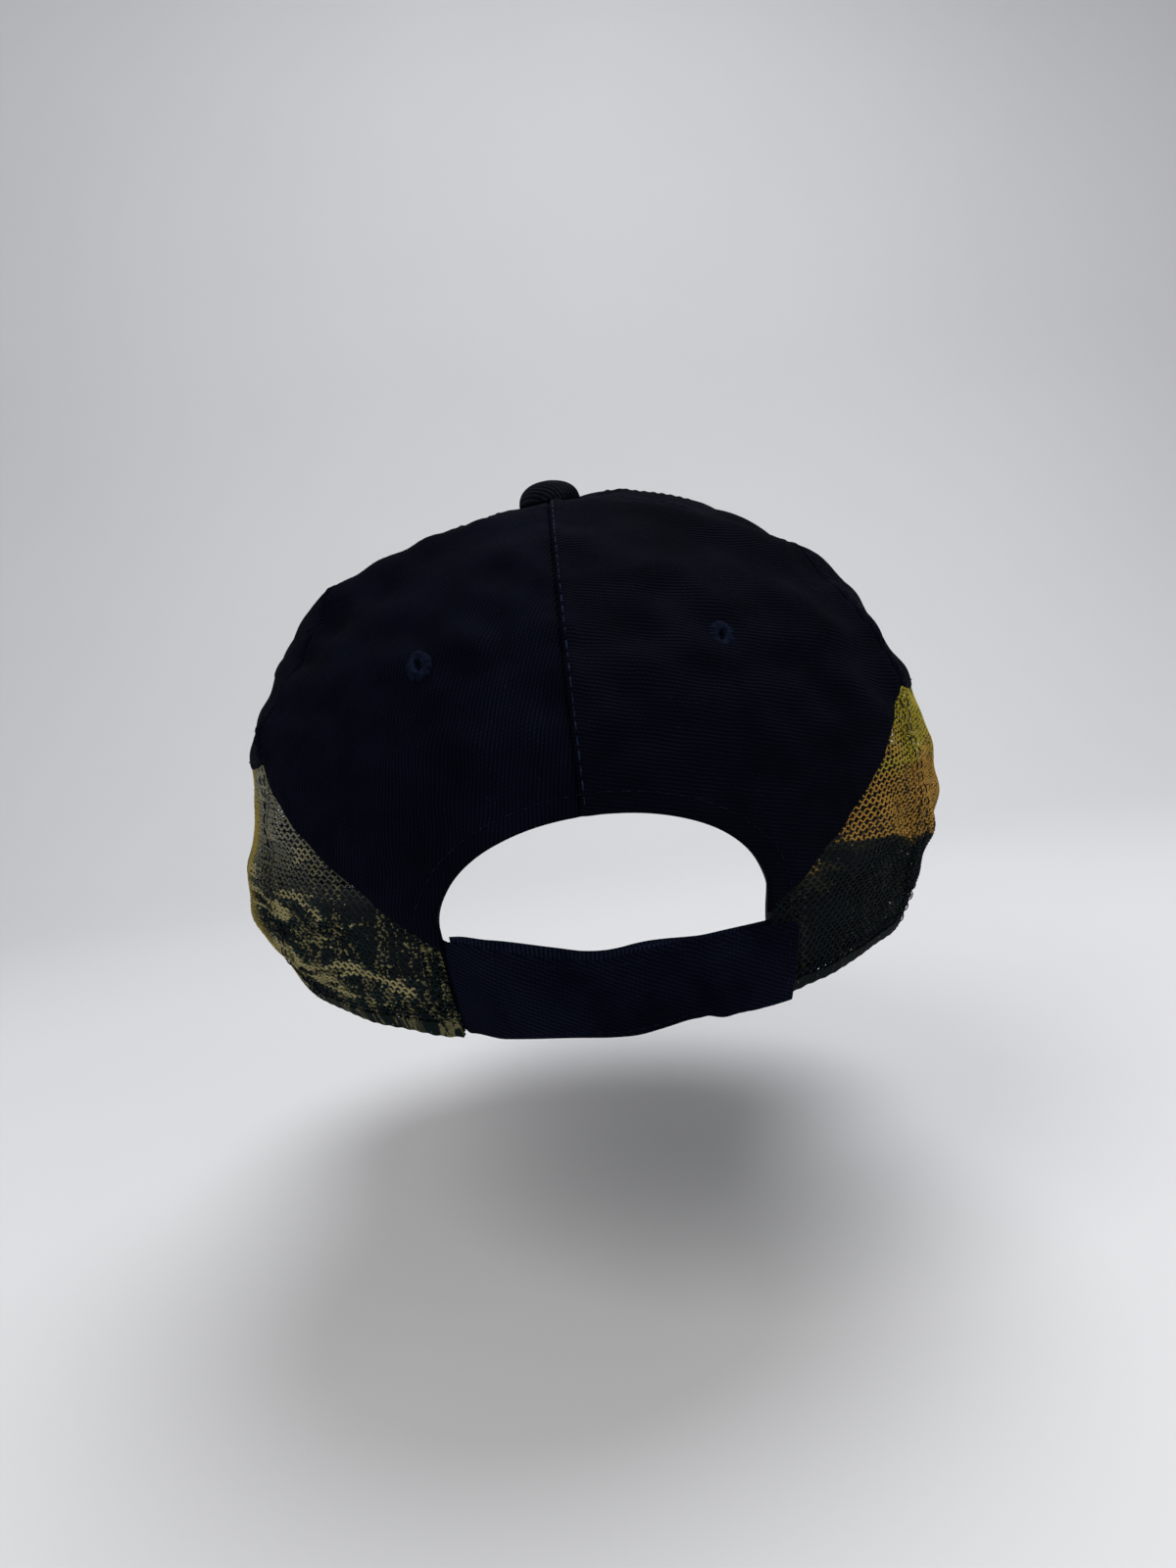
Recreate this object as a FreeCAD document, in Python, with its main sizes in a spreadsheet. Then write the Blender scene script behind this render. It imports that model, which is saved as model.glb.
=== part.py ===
import FreeCAD, Part
import Sketcher
import math
import os

# Six-panel cap with twill crown, mesh lower sides, arched back opening,
# hook-and-loop strap and curved visor.
# Frame: millimetres, origin on the table under the top button,
# +Z up through the button, +Y forward to the visor, back strap at -Y.

doc = FreeCAD.newDocument("cap")
sheet = doc.addObject("Spreadsheet::Sheet", "dims")
sheet.Label = "dims"

SIZES = [
    # profile of the crown over the back seam, hem to button
    ("back_radius_1", 88), ("back_height_1", 1),
    ("back_radius_2", 93), ("back_height_2", 20),
    ("back_radius_3", 97), ("back_height_3", 46),
    ("back_radius_4", 93), ("back_height_4", 76),
    ("back_radius_5", 70), ("back_height_5", 107),
    ("back_radius_6", 34), ("back_height_6", 122),
    # profile of the crown at the sides
    ("side_radius_1", 85), ("side_height_1", 6),
    ("side_radius_2", 96), ("side_height_2", 22),
    ("side_radius_3", 99), ("side_height_3", 46),
    ("side_radius_4", 87), ("side_height_4", 76),
    ("side_radius_5", 72), ("side_height_5", 104),
    ("side_radius_6", 38), ("side_height_6", 121),
    # profile of the crown at the front
    ("front_radius_1", 97), ("front_height_1", 31),
    ("front_radius_2", 100), ("front_height_2", 48),
    ("front_radius_3", 99), ("front_height_3", 76),
    ("front_radius_4", 88), ("front_height_4", 106),
    ("front_radius_5", 60), ("front_height_5", 124),
    ("front_radius_6", 28), ("front_height_6", 127),
    ("crown_height", 124),
    # hem line and seams
    ("hem_back_height", 0.6), ("hem_side_height", 9), ("visor_root_turn", 0.27),
    ("hem_tuck", 2.5), ("tuck_turn", 0.2), ("side_seam_angle", 57), ("front_seam_angle", 120),
    ("panel_thickness", 1.2), ("mesh_thickness", 1.2), ("seam_gap", 0.1),
    ("apex_hole_radius", 4.0),
    # border between twill and mesh
    ("mesh_tip_height", 22), ("mesh_side_height", 64), ("mesh_front_height", 60),
    # back opening
    ("arch_half_width", 36), ("arch_corner_height", 27), ("arch_top_height", 49),
    ("arch_leg_half_width", 35.2), ("facing_width", 10), ("facing_thickness", 0.6),
    # tapes, stiffener and sweatband
    ("tape_width", 12), ("tape_thickness", 0.6), ("tape_end_radius", 13.5),
    ("tape_gap", 0.75), ("buckram_gap", 0.25), ("buckram_hem_gap", 0.8),
    ("buckram_thickness", 0.4), ("buckram_top_radius", 34), ("buckram_side_gap", 0.6),
    ("layer_gap", 0.05), ("facing_reach_angle", 34), ("facing_low", 15), ("facing_spare", 4),
    ("sweatband_offset", 2.8), ("sweatband_thickness", 1.2), ("sweatband_height", 33),
    ("sweatband_end", 36.6), ("sweatband_start_angle", 20), ("sweatband_lift", 0.4),
    ("sweatband_visor_lift", 0.6), ("facing_foot_height", 24.5), ("hem_lap", 1),
    # button
    ("button_radius", 8.6), ("button_rise", 6.6), ("button_cover_thickness", 0.9),
    ("button_shell_thickness", 0.7), ("button_seat_height", 124),
    ("rivet_radius", 1.6), ("rivet_length", 6.4), ("rivet_head_radius", 3.2),
    ("rivet_head_thickness", 0.8), ("rivet_gap", 0.06), ("washer_radius", 6.2),
    ("washer_thickness", 1.0), ("washer_height", 121.4), ("washer_bore_gap", 0.08),
    # embroidered eyelets
    ("eyelet_ring_radius", 2.7), ("eyelet_cord_radius", 1.05), ("eyelet_seat_radius", 3.85),
    ("eyelet_back_angle", 22.5), ("eyelet_back_height", 83),
    ("eyelet_side_angle", 88), ("eyelet_side_height", 88),
    ("eyelet_front_angle", 150), ("eyelet_front_height", 96), ("buckram_hole_radius", 4.4),
    # strap closure
    ("strap_thickness", 1.4), ("strap_bottom", 1.8), ("strap_height", 20),
    ("strap_outer_offset", 0.8), ("strap_root_offset", -1.3), ("strap_root_x", 33.2),
    ("strap_turn_length", 9), ("strap_end_x", 40), ("inner_strap_rise", 1.2),
    ("inner_strap_offset", -2.7), ("inner_strap_end_x", 22), ("tab_length", 10),
    ("tab_gap", 1.0), ("hook_start_x", -2), ("hook_end_x", 31), ("loop_start_x", -19),
    ("loop_end_x", 26), ("fastener_thickness", 0.75), ("fastener_margin", 2),
    # visor
    ("visor_bend_radius", 185), ("visor_slope", 2.5), ("visor_root_height", 32.9),
    ("visor_root_y", 97), ("visor_tip_y", 168), ("visor_half_width", 91),
    ("visor_corner_radius", 56), ("visor_front_radius", 112), ("corner_lap_angle", 0.05),
    ("visor_root_half_width", 81), ("visor_root_start_y", 26),
    ("visor_inner_radius", 82), ("visor_cover_thickness", 0.9),
    ("visor_board_thickness", 2.2), ("visor_edge_width", 2.0), ("visor_clearance", 0.12),
    ("visor_root_lap", 3), ("block_depth", 120), ("block_length", 200),
    ("slab_half_width", 105), ("slab_length", 520),
    ("trim_half_width", 150), ("trim_half_length", 270), ("core_drop", 6), ("core_gap", 0.1),
]
for row, (name, size) in enumerate(SIZES, start=1):
    sheet.set("A%d" % row, name)
    sheet.set("B%d" % row, str(size))
    sheet.setAlias("B%d" % row, name)
doc.recompute()


VALUES = {}
for name, size in SIZES:
    VALUES[name] = float(sheet.get(name))


def val(name):
    return VALUES[name]


# ---------------------------------------------------------------- crown surface

def profile(kind):
    points = []
    for index in range(1, 7):
        points.append((val("%s_radius_%d" % (kind, index)), val("%s_height_%d" % (kind, index))))
    points.append((0.0, val("crown_height")))
    return points


BACK = profile("back")
SIDE = profile("side")
FRONT = profile("front")
COUNT = len(BACK)
DEGREE = 3
INNER_SPANS = COUNT - DEGREE
KNOTS = [0.0] * (DEGREE + 1)
for span in range(1, INNER_SPANS):
    KNOTS.append(span / INNER_SPANS)
KNOTS = KNOTS + [1.0] * (DEGREE + 1)


def weights(v):
    """Weights of the seven profile points at height parameter v."""
    v = min(max(v, 0.0), 1.0 - 1e-9)
    level = []
    for i in range(len(KNOTS) - 1):
        level.append(1.0 if KNOTS[i] <= v < KNOTS[i + 1] else 0.0)
    for d in range(1, DEGREE + 1):
        upper = []
        for i in range(len(level) - 1):
            left = KNOTS[i + d] - KNOTS[i]
            right = KNOTS[i + d + 1] - KNOTS[i + 1]
            total = 0.0
            if left > 0:
                total += (v - KNOTS[i]) / left * level[i]
            if right > 0:
                total += (KNOTS[i + d + 1] - v) / right * level[i + 1]
            upper.append(total)
        level = upper
    return level


def visor_top(x, y):
    """Height of the top face of the visor."""
    bend = val("visor_bend_radius")
    sag = bend - math.sqrt(bend * bend - x * x)
    slope = math.tan(math.radians(val("visor_slope")))
    return val("visor_root_height") - sag - (y - val("visor_root_y")) * slope


def hem(turn):
    """Height of the hem; turn is -1 at the back, 0 at the sides, 1 in front."""
    side = val("hem_side_height")
    root = val("visor_root_turn")
    if turn <= 0:
        return side + (side - val("hem_back_height")) * turn
    radius = val("side_radius_1") * (1 - turn * turn) + val("front_radius_1") * turn * turn
    x = radius * math.sqrt(1 - turn * turn)
    top = visor_top(x, radius * turn)
    if turn < root:
        x_root = radius * math.sqrt(1 - root * root)
        top_root = visor_top(x_root, radius * root)
        return side + (top_root - side) * turn / root
    tuck = min(1.0, (turn - root) / val("tuck_turn"))
    return top - val("hem_tuck") * tuck


def crown(angle, v):
    """Point of the outer surface; angle in radians from the back seam."""
    turn = -math.cos(angle)
    across = math.sin(angle)
    w_back = turn * turn if turn < 0 else 0.0
    w_front = turn * turn if turn > 0 else 0.0
    w_side = across * across
    radius = 0.0
    height = 0.0
    w = weights(v)
    for k in range(COUNT):
        radius += w[k] * (w_back * BACK[k][0] + w_side * SIDE[k][0] + w_front * FRONT[k][0])
        height += w[k] * (w_back * BACK[k][1] + w_side * SIDE[k][1] + w_front * FRONT[k][1])
    plain = w_back * BACK[0][1] + w_side * SIDE[0][1] + w_front * FRONT[0][1]
    height += (hem(turn) - plain) * (w[0] + 0.5 * w[1])
    return FreeCAD.Vector(radius * across, radius * turn, height)


def normal(angle, v):
    """Outward normal of the outer surface."""
    step = 0.002
    low = max(0.0, v - step)
    high = min(0.999, v + step)
    along = crown(angle + step, v).sub(crown(angle - step, v))
    up = crown(angle, high).sub(crown(angle, low))
    n = along.cross(up)
    n.normalize()
    out = crown(angle, v)
    if n.x * out.x + n.y * out.y + n.z * (out.z - 50.0) < 0:
        n = n.multiply(-1)
    return n


def shifted(angle, v, offset):
    """Point at a distance from the outer surface, outward positive."""
    return crown(angle, v).add(normal(angle, v).multiply(offset))


def v_at_height(angle, height):
    low = 0.0
    high = 1.0
    for _ in range(34):
        middle = 0.5 * (low + high)
        if crown(angle, middle).z < height:
            low = middle
        else:
            high = middle
    return low


def v_at_radius(angle, radius):
    low = 0.4
    high = 1.0
    for _ in range(34):
        middle = 0.5 * (low + high)
        p = crown(angle, middle)
        if math.hypot(p.x, p.y) > radius:
            low = middle
        else:
            high = middle
    return low


def angle_at_x(x, height):
    """Angle from the back seam where the surface has this x at this height."""
    low = 0.0
    high = math.pi / 2
    for _ in range(34):
        middle = 0.5 * (low + high)
        if crown(middle, v_at_height(middle, height)).x < abs(x):
            low = middle
        else:
            high = middle
    return math.copysign(low, x)


def patch(place, columns, rows, outer, inner):
    """Solid sheet between two offsets; place(s, t) gives angle and v."""
    faces = []
    borders = []
    for offset in (outer, inner):
        grid = []
        for i in range(columns + 1):
            line = []
            for j in range(rows + 1):
                s = i / columns
                t = j / rows
                angle, v = place(s, t)
                depth = offset(s, t) if callable(offset) else offset
                line.append(shifted(angle, v, depth))
            grid.append(line)
        surface = Part.BSplineSurface()
        surface.interpolate(grid)
        faces.append(surface.toShape())
        u0, u1, v0, v1 = surface.bounds()
        borders.append([
            surface.uIso(u0).toShape(v0, v1),
            surface.uIso(u1).toShape(v0, v1),
            surface.vIso(v0).toShape(u0, u1),
            surface.vIso(v1).toShape(u0, u1),
        ])
    for first, second in zip(borders[0], borders[1]):
        faces.append(Part.makeRuledSurface(first, second))
    shell = Part.makeShell(faces)
    shell.sewShape()
    solid = Part.makeSolid(shell)
    if solid.Volume < 0:
        solid.reverse()
    return solid


def gore(start, end, rows, outer, inner, top_radius):
    """Sheet from hem to the apex between two seam angles in degrees."""
    gap = 0.5 * val("seam_gap")

    def place(s, t):
        middle = math.radians(0.5 * (start + end))
        v = t * v_at_radius(middle, top_radius)
        p = crown(middle, v)
        trim = gap / math.hypot(p.x, p.y)
        a = math.radians(start) + trim
        b = math.radians(end) - trim
        return a + (b - a) * s, v

    return patch(place, 12, rows, outer, inner)


# ---------------------------------------------------------------- cutting tools

REACH = 300.0           # half size of a cutting block, larger than the cap
BEHIND = -160.0         # where the arch's cutting block starts, behind the cap
ARCH_DEPTH = 140.0
BELOW = -40.0


def arch_prism(grow):
    """Arched block through the back, grown outward by a margin."""
    half = val("arch_half_width") + grow
    leg = val("arch_leg_half_width") + grow
    base = val("arch_corner_height")
    rise = val("arch_top_height") - base + grow
    low = val("mesh_tip_height")
    points = []
    steps = 24
    for k in range(steps + 1):
        turn = math.pi * k / steps
        points.append(FreeCAD.Vector(half * math.cos(turn), BEHIND, base + rise * math.sin(turn)))
    curve = Part.BSplineCurve()
    curve.interpolate(points)
    left_tip = FreeCAD.Vector(-leg, BEHIND, low)
    right_tip = FreeCAD.Vector(leg, BEHIND, low)
    left_foot = FreeCAD.Vector(-leg, BEHIND, BELOW)
    right_foot = FreeCAD.Vector(leg, BEHIND, BELOW)
    edges = [
        curve.toShape(),
        Part.makeLine(points[-1], left_tip),
        Part.makeLine(left_tip, left_foot),
        Part.makeLine(left_foot, right_foot),
        Part.makeLine(right_foot, right_tip),
        Part.makeLine(right_tip, points[0]),
    ]
    wire = Part.Wire(Part.__sortEdges__(edges))
    return Part.Face(wire).extrude(FreeCAD.Vector(0, ARCH_DEPTH, 0))


def half_space(first, second, radial, shift):
    """Large block above the plane through two points and a radial direction."""
    along = second.sub(first)
    along.normalize()
    across = radial.sub(FreeCAD.Vector(along).multiply(radial.dot(along)))
    across.normalize()
    up = along.cross(across)
    if up.z < 0:
        up = up.multiply(-1)
    up.normalize()
    middle = first.add(second).multiply(0.5).add(FreeCAD.Vector(up).multiply(shift))
    corners = []
    for a, b in ((-1, -1), (1, -1), (1, 1), (-1, 1)):
        corner = middle.add(FreeCAD.Vector(along).multiply(a * REACH))
        corner = corner.add(FreeCAD.Vector(across).multiply(b * REACH))
        corners.append(corner)
    face = Part.Face(Part.makePolygon(corners + [corners[0]]))
    return face.extrude(FreeCAD.Vector(up).multiply(REACH))


def border_plane(side, rear, shift):
    """Block above the twill and mesh border of one side."""
    seam = math.radians(val("side_seam_angle")) * side
    high = crown(seam, v_at_height(seam, val("mesh_side_height")))
    if rear:
        angle = angle_at_x(side * val("arch_leg_half_width"), val("mesh_tip_height"))
        low = crown(angle, v_at_height(angle, val("mesh_tip_height")))
    else:
        front = math.radians(val("front_seam_angle")) * side
        low = crown(front, v_at_height(front, val("mesh_front_height")))
    radial = FreeCAD.Vector(high.x + low.x, high.y + low.y, 0)
    radial.normalize()
    return half_space(low, high, radial, shift)


def visor_block(clear):
    """Everything below the top face of the visor, raised by a clearance."""
    bend = val("visor_bend_radius")
    half = val("slab_half_width")
    start_y = val("visor_root_start_y") - val("visor_root_lap")
    sag = bend - math.sqrt(bend * bend - half * half)
    start = FreeCAD.Vector(-half, 0, -sag + clear)
    top = FreeCAD.Vector(0, 0, clear)
    end = FreeCAD.Vector(half, 0, -sag + clear)
    arc = Part.Arc(start, top, end).toShape()
    low_end = FreeCAD.Vector(half, 0, -val("block_depth"))
    low_start = FreeCAD.Vector(-half, 0, -val("block_depth"))
    wire = Part.Wire([
        arc,
        Part.makeLine(end, low_end),
        Part.makeLine(low_end, low_start),
        Part.makeLine(low_start, start),
    ])
    block = Part.Face(wire).extrude(FreeCAD.Vector(0, val("block_length"), 0))
    block.translate(FreeCAD.Vector(0, start_y - val("visor_root_y"), 0))
    block.rotate(FreeCAD.Vector(0, 0, 0), FreeCAD.Vector(1, 0, 0), -val("visor_slope"))
    block.translate(FreeCAD.Vector(0, val("visor_root_y"), val("visor_root_height")))
    return block


ARCH = arch_prism(0.0)
VISOR_BLOCK = visor_block(val("visor_clearance"))
HALF_GAP = 0.5 * val("seam_gap")


def feature(name, shape):
    item = doc.addObject("Part::Feature", name)
    item.Label = name
    item.Shape = shape
    item.Placement = FreeCAD.Placement()
    return item


# ---------------------------------------------------------------- eyelets

def eyelet_axis(spot, side):
    angle = side * math.radians(val("eyelet_%s_angle" % spot))
    v = v_at_height(angle, val("eyelet_%s_height" % spot))
    return shifted(angle, v, -0.5 * val("panel_thickness")), normal(angle, v)


EYELET_BORE = 8.0       # half length of the cutting cylinder


def eyelet_hole(spot, side, radius):
    centre, axis = eyelet_axis(spot, side)
    start = centre.sub(FreeCAD.Vector(axis).multiply(EYELET_BORE))
    return Part.makeCylinder(radius, 2 * EYELET_BORE, start, axis)


SIDES = (("left", -1), ("right", 1))

for spot in ("back", "side", "front"):
    for word, side in SIDES:
        ring = doc.addObject("Part::Torus", "eyelet_%s_%s" % (spot, word))
        ring.Label = ring.Name
        ring.setExpression("Radius1", "dims.eyelet_ring_radius")
        ring.setExpression("Radius2", "dims.eyelet_cord_radius")
        centre, axis = eyelet_axis(spot, side)
        turn = FreeCAD.Rotation(FreeCAD.Vector(0, 0, 1), axis)
        ring.Placement = FreeCAD.Placement(centre, turn)

# ---------------------------------------------------------------- panels and mesh

thick = val("panel_thickness")
eyelet_seat = val("eyelet_seat_radius")
apex = val("apex_hole_radius")
side_seam = val("side_seam_angle")
front_seam = val("front_seam_angle")

for word, side in SIDES:
    ends = sorted((0.0, side * side_seam))
    back = gore(ends[0], ends[1], 18, 0.0, -thick, apex).cut(ARCH)
    above = border_plane(side, True, HALF_GAP)
    below = border_plane(side, True, -HALF_GAP)
    panel = back.common(above).cut(eyelet_hole("back", side, eyelet_seat))
    feature("back_panel_" + word, panel)
    net = gore(ends[0], ends[1], 18, 0.0, -val("mesh_thickness"), apex).cut(ARCH).cut(below)
    feature("back_mesh_" + word, net)

    ends = sorted((side * side_seam, side * front_seam))
    flank = gore(ends[0], ends[1], 18, 0.0, -thick, apex)
    above = border_plane(side, False, HALF_GAP)
    below = border_plane(side, False, -HALF_GAP)
    panel = flank.common(above).cut(eyelet_hole("side", side, eyelet_seat))
    feature("side_panel_" + word, panel)
    net = gore(ends[0], ends[1], 18, 0.0, -val("mesh_thickness"), apex).cut(below)
    feature("side_mesh_" + word, net.cut(VISOR_BLOCK))

    ends = sorted((side * front_seam, side * 180.0))
    front = gore(ends[0], ends[1], 18, 0.0, -thick, apex)
    front = front.cut(VISOR_BLOCK).cut(eyelet_hole("front", side, eyelet_seat))
    feature("front_panel_" + word, front)

# ---------------------------------------------------------------- tapes, buckram, facing

layer = thick + val("layer_gap")


def tape(angle, low_height):
    """Strip along a seam, on the inside of the crown."""
    bottom = v_at_height(math.radians(angle), low_height)
    top = v_at_radius(math.radians(angle), val("tape_end_radius"))

    def place(s, t):
        v = bottom + (top - bottom) * t
        p = crown(math.radians(angle), v)
        half = 0.5 * val("tape_width") / math.hypot(p.x, p.y)
        return math.radians(angle) + half * (2 * s - 1), v

    face = -thick - val("tape_gap")
    return patch(place, 4, 20, face, face - val("tape_thickness"))


back_start = val("arch_top_height") + val("facing_width") + val("hem_lap")
feature("seam_tape_back", tape(0.0, back_start))
for word, side in SIDES:
    low = hem(-math.cos(math.radians(side_seam))) + val("hem_lap")
    feature("seam_tape_side_" + word, tape(side * side_seam, low))
    low = hem(-math.cos(math.radians(front_seam)))
    feature("seam_tape_front_" + word, tape(side * front_seam, low).cut(VISOR_BLOCK))
feature("seam_tape_centre", tape(180.0, hem(1.0)).cut(VISOR_BLOCK))


BUCKRAM_FLOOR = visor_block(val("buckram_hem_gap"))


def buckram(side):
    """Open-weave stiffener behind one front panel, between two tapes."""
    middle = math.radians(0.5 * (front_seam + 180))

    def place(s, t):
        v = t * v_at_radius(middle, val("buckram_top_radius"))
        p = crown(middle, v)
        trim = (0.5 * val("tape_width") + val("buckram_side_gap")) / math.hypot(p.x, p.y)
        a = math.radians(front_seam) + trim
        b = math.pi - trim
        angle = a + (b - a) * s if side > 0 else -b + (b - a) * s
        return angle, v

    face = -thick - val("buckram_gap")
    stiffener = patch(place, 10, 14, face, face - val("buckram_thickness"))
    return stiffener.cut(BUCKRAM_FLOOR).cut(eyelet_hole("front", side, val("buckram_hole_radius")))


for word, side in SIDES:
    feature("front_buckram_" + word, buckram(side))


def facing_blank():
    def place(s, t):
        angle = math.radians(val("facing_reach_angle")) * (2 * s - 1)
        top = val("arch_top_height") + val("facing_width") + val("facing_spare")
        low = v_at_height(angle, val("facing_low"))
        high = v_at_height(angle, top)
        return angle, low + (high - low) * t

    return patch(place, 20, 10, -layer, -layer - val("facing_thickness"))


foot = FreeCAD.Vector(-REACH, -REACH, val("facing_foot_height") - REACH)
lower = Part.makeBox(2 * REACH, REACH, REACH, foot)
facing = facing_blank().common(arch_prism(val("facing_width"))).cut(ARCH).cut(lower)
feature("arch_facing", facing)

# ---------------------------------------------------------------- sweatband


def band_place(s, t):
    start = val("sweatband_start_angle")
    angle = math.radians(start + (360 - 2 * start) * s)
    bottom = hem(-math.cos(angle)) + val("sweatband_lift")
    if -math.cos(angle) > val("visor_root_turn"):
        bottom += val("sweatband_visor_lift")
    low = v_at_height(angle, bottom)
    high = v_at_height(angle, bottom + val("sweatband_height"))
    return angle, low + (high - low) * t


inner = -val("sweatband_offset") - val("sweatband_thickness")
band = patch(band_place, 64, 8, -val("sweatband_offset"), inner)
end = val("sweatband_end")
band = band.cut(Part.makeBox(2 * end, ARCH_DEPTH, REACH, FreeCAD.Vector(-end, BEHIND, BELOW)))
feature("sweatband", band)

# ---------------------------------------------------------------- straps


def ribbon(x_start, x_end, bottom, height, outer, thickness, columns):
    """Upright strip round the back between two x positions."""

    def place(s, t):
        z = bottom + height * t
        x = x_start + (x_end - x_start) * s
        angle = angle_at_x(x, bottom + 0.5 * height)
        return angle, v_at_height(angle, z)

    def inner_depth(s, t):
        return outer(s) - thickness

    def outer_depth(s, t):
        return outer(s)

    return patch(place, columns, 4, outer_depth, inner_depth)


def smooth(t):
    t = min(max(t, 0.0), 1.0)
    return t * t * (3 - 2 * t)


strap = val("strap_thickness")
root = val("strap_root_x")
end = val("strap_end_x")
bottom = val("strap_bottom")
tall = val("strap_height")
outer_face = val("strap_outer_offset") + strap


def outer_path(s):
    x = -root + (end + root) * s
    rise = smooth((x + root) / val("strap_turn_length"))
    start = val("strap_root_offset") + strap
    return start + (outer_face - start) * rise


feature("outer_strap", ribbon(-root, end, bottom, tall, outer_path, strap, 30))
fastener = val("fastener_thickness")
margin = val("fastener_margin")
gap = val("layer_gap")


def hook_path(s):
    return val("strap_outer_offset") - gap


hook = ribbon(val("hook_start_x"), val("hook_end_x"), bottom + margin, tall - 2 * margin,
              hook_path, fastener, 14)
feature("hook_patch", hook)

low = bottom + val("inner_strap_rise")


def inner_path(s):
    return val("inner_strap_offset") + strap


feature("inner_strap", ribbon(-val("inner_strap_end_x"), root, low, tall, inner_path, strap, 24))


def loop_path(s):
    return val("inner_strap_offset") + strap + gap + fastener


loop = ribbon(val("loop_start_x"), val("loop_end_x"), low + margin, tall - 2 * margin,
              loop_path, fastener, 18)
feature("loop_patch", loop)

tab_start = root + val("tab_gap")


def tab_path(s):
    return -layer


left_tab = ribbon(-tab_start - val("tab_length"), -tab_start, bottom + 1, tall - 2,
                  tab_path, strap, 6)
feature("outer_strap_tab", left_tab)
right_tab = ribbon(tab_start, tab_start + val("tab_length"), low + 1, tall - 2,
                   tab_path, strap, 6)
feature("inner_strap_tab", right_tab)

# ---------------------------------------------------------------- button

seat = val("button_seat_height")


def dome(name, radius, rise, inset):
    """Half ellipsoid shell standing on the crown."""
    outside = doc.addObject("Part::Ellipsoid", name + "_outside")
    outside.setExpression("Radius1", rise)
    outside.setExpression("Radius2", radius)
    outside.setExpression("Radius3", radius)
    outside.Angle1 = 0
    inside = doc.addObject("Part::Ellipsoid", name + "_inside")
    inside.setExpression("Radius1", rise + " - " + inset)
    inside.setExpression("Radius2", radius + " - " + inset)
    inside.setExpression("Radius3", radius + " - " + inset)
    inside.Angle1 = -90
    shell = doc.addObject("Part::Cut", name)
    shell.Label = name
    shell.Base = outside
    shell.Tool = inside
    shell.Placement = FreeCAD.Placement(FreeCAD.Vector(0, 0, seat), FreeCAD.Rotation())
    return shell


dome("button_cover", "dims.button_radius", "dims.button_rise", "dims.button_cover_thickness")
dome("button_shell",
     "dims.button_radius - dims.button_cover_thickness - dims.layer_gap",
     "dims.button_rise - dims.button_cover_thickness - dims.layer_gap",
     "dims.button_shell_thickness")

stem = doc.addObject("Part::Cylinder", "rivet_stem")
stem.setExpression("Radius", "dims.rivet_radius")
stem.setExpression("Height", "dims.rivet_length")
head = doc.addObject("Part::Cylinder", "rivet_head")
head.setExpression("Radius", "dims.rivet_head_radius")
head.setExpression("Height", "dims.rivet_head_thickness")
head.setExpression("Placement.Base.z", "-dims.rivet_head_thickness")
rivet = doc.addObject("Part::Fuse", "button_rivet")
rivet.Label = "button_rivet"
rivet.Base = stem
rivet.Tool = head
rivet_z = val("washer_height") - val("rivet_gap")
rivet.Placement = FreeCAD.Placement(FreeCAD.Vector(0, 0, rivet_z), FreeCAD.Rotation())

disc = doc.addObject("Part::Cylinder", "washer_disc")
disc.setExpression("Radius", "dims.washer_radius")
disc.setExpression("Height", "dims.washer_thickness")
bore = doc.addObject("Part::Cylinder", "washer_bore")
bore.setExpression("Radius", "dims.rivet_radius + dims.washer_bore_gap")
bore.setExpression("Height", "dims.washer_thickness")
washer = doc.addObject("Part::Cut", "button_back_washer")
washer.Label = "button_back_washer"
washer.Base = disc
washer.Tool = bore
washer_z = val("washer_height")
washer.Placement = FreeCAD.Placement(FreeCAD.Vector(0, 0, washer_z), FreeCAD.Rotation())

# ---------------------------------------------------------------- visor


def origin_plane(body, role):
    for item in body.Origin.OriginFeatures:
        if item.Role == role:
            return item
    raise ValueError(role)


def outline_points(grow):
    """Radii and centres of the arcs of the visor outline, grown outward."""
    front = val("visor_front_radius") + grow
    corner = val("visor_corner_radius") + grow
    centre_x = val("visor_half_width") - val("visor_corner_radius")
    front_y = val("visor_tip_y") + grow - front
    reach = front - corner
    corner_y = front_y + math.sqrt(reach * reach - centre_x * centre_x)
    return front, corner, centre_x, front_y, corner_y


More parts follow.
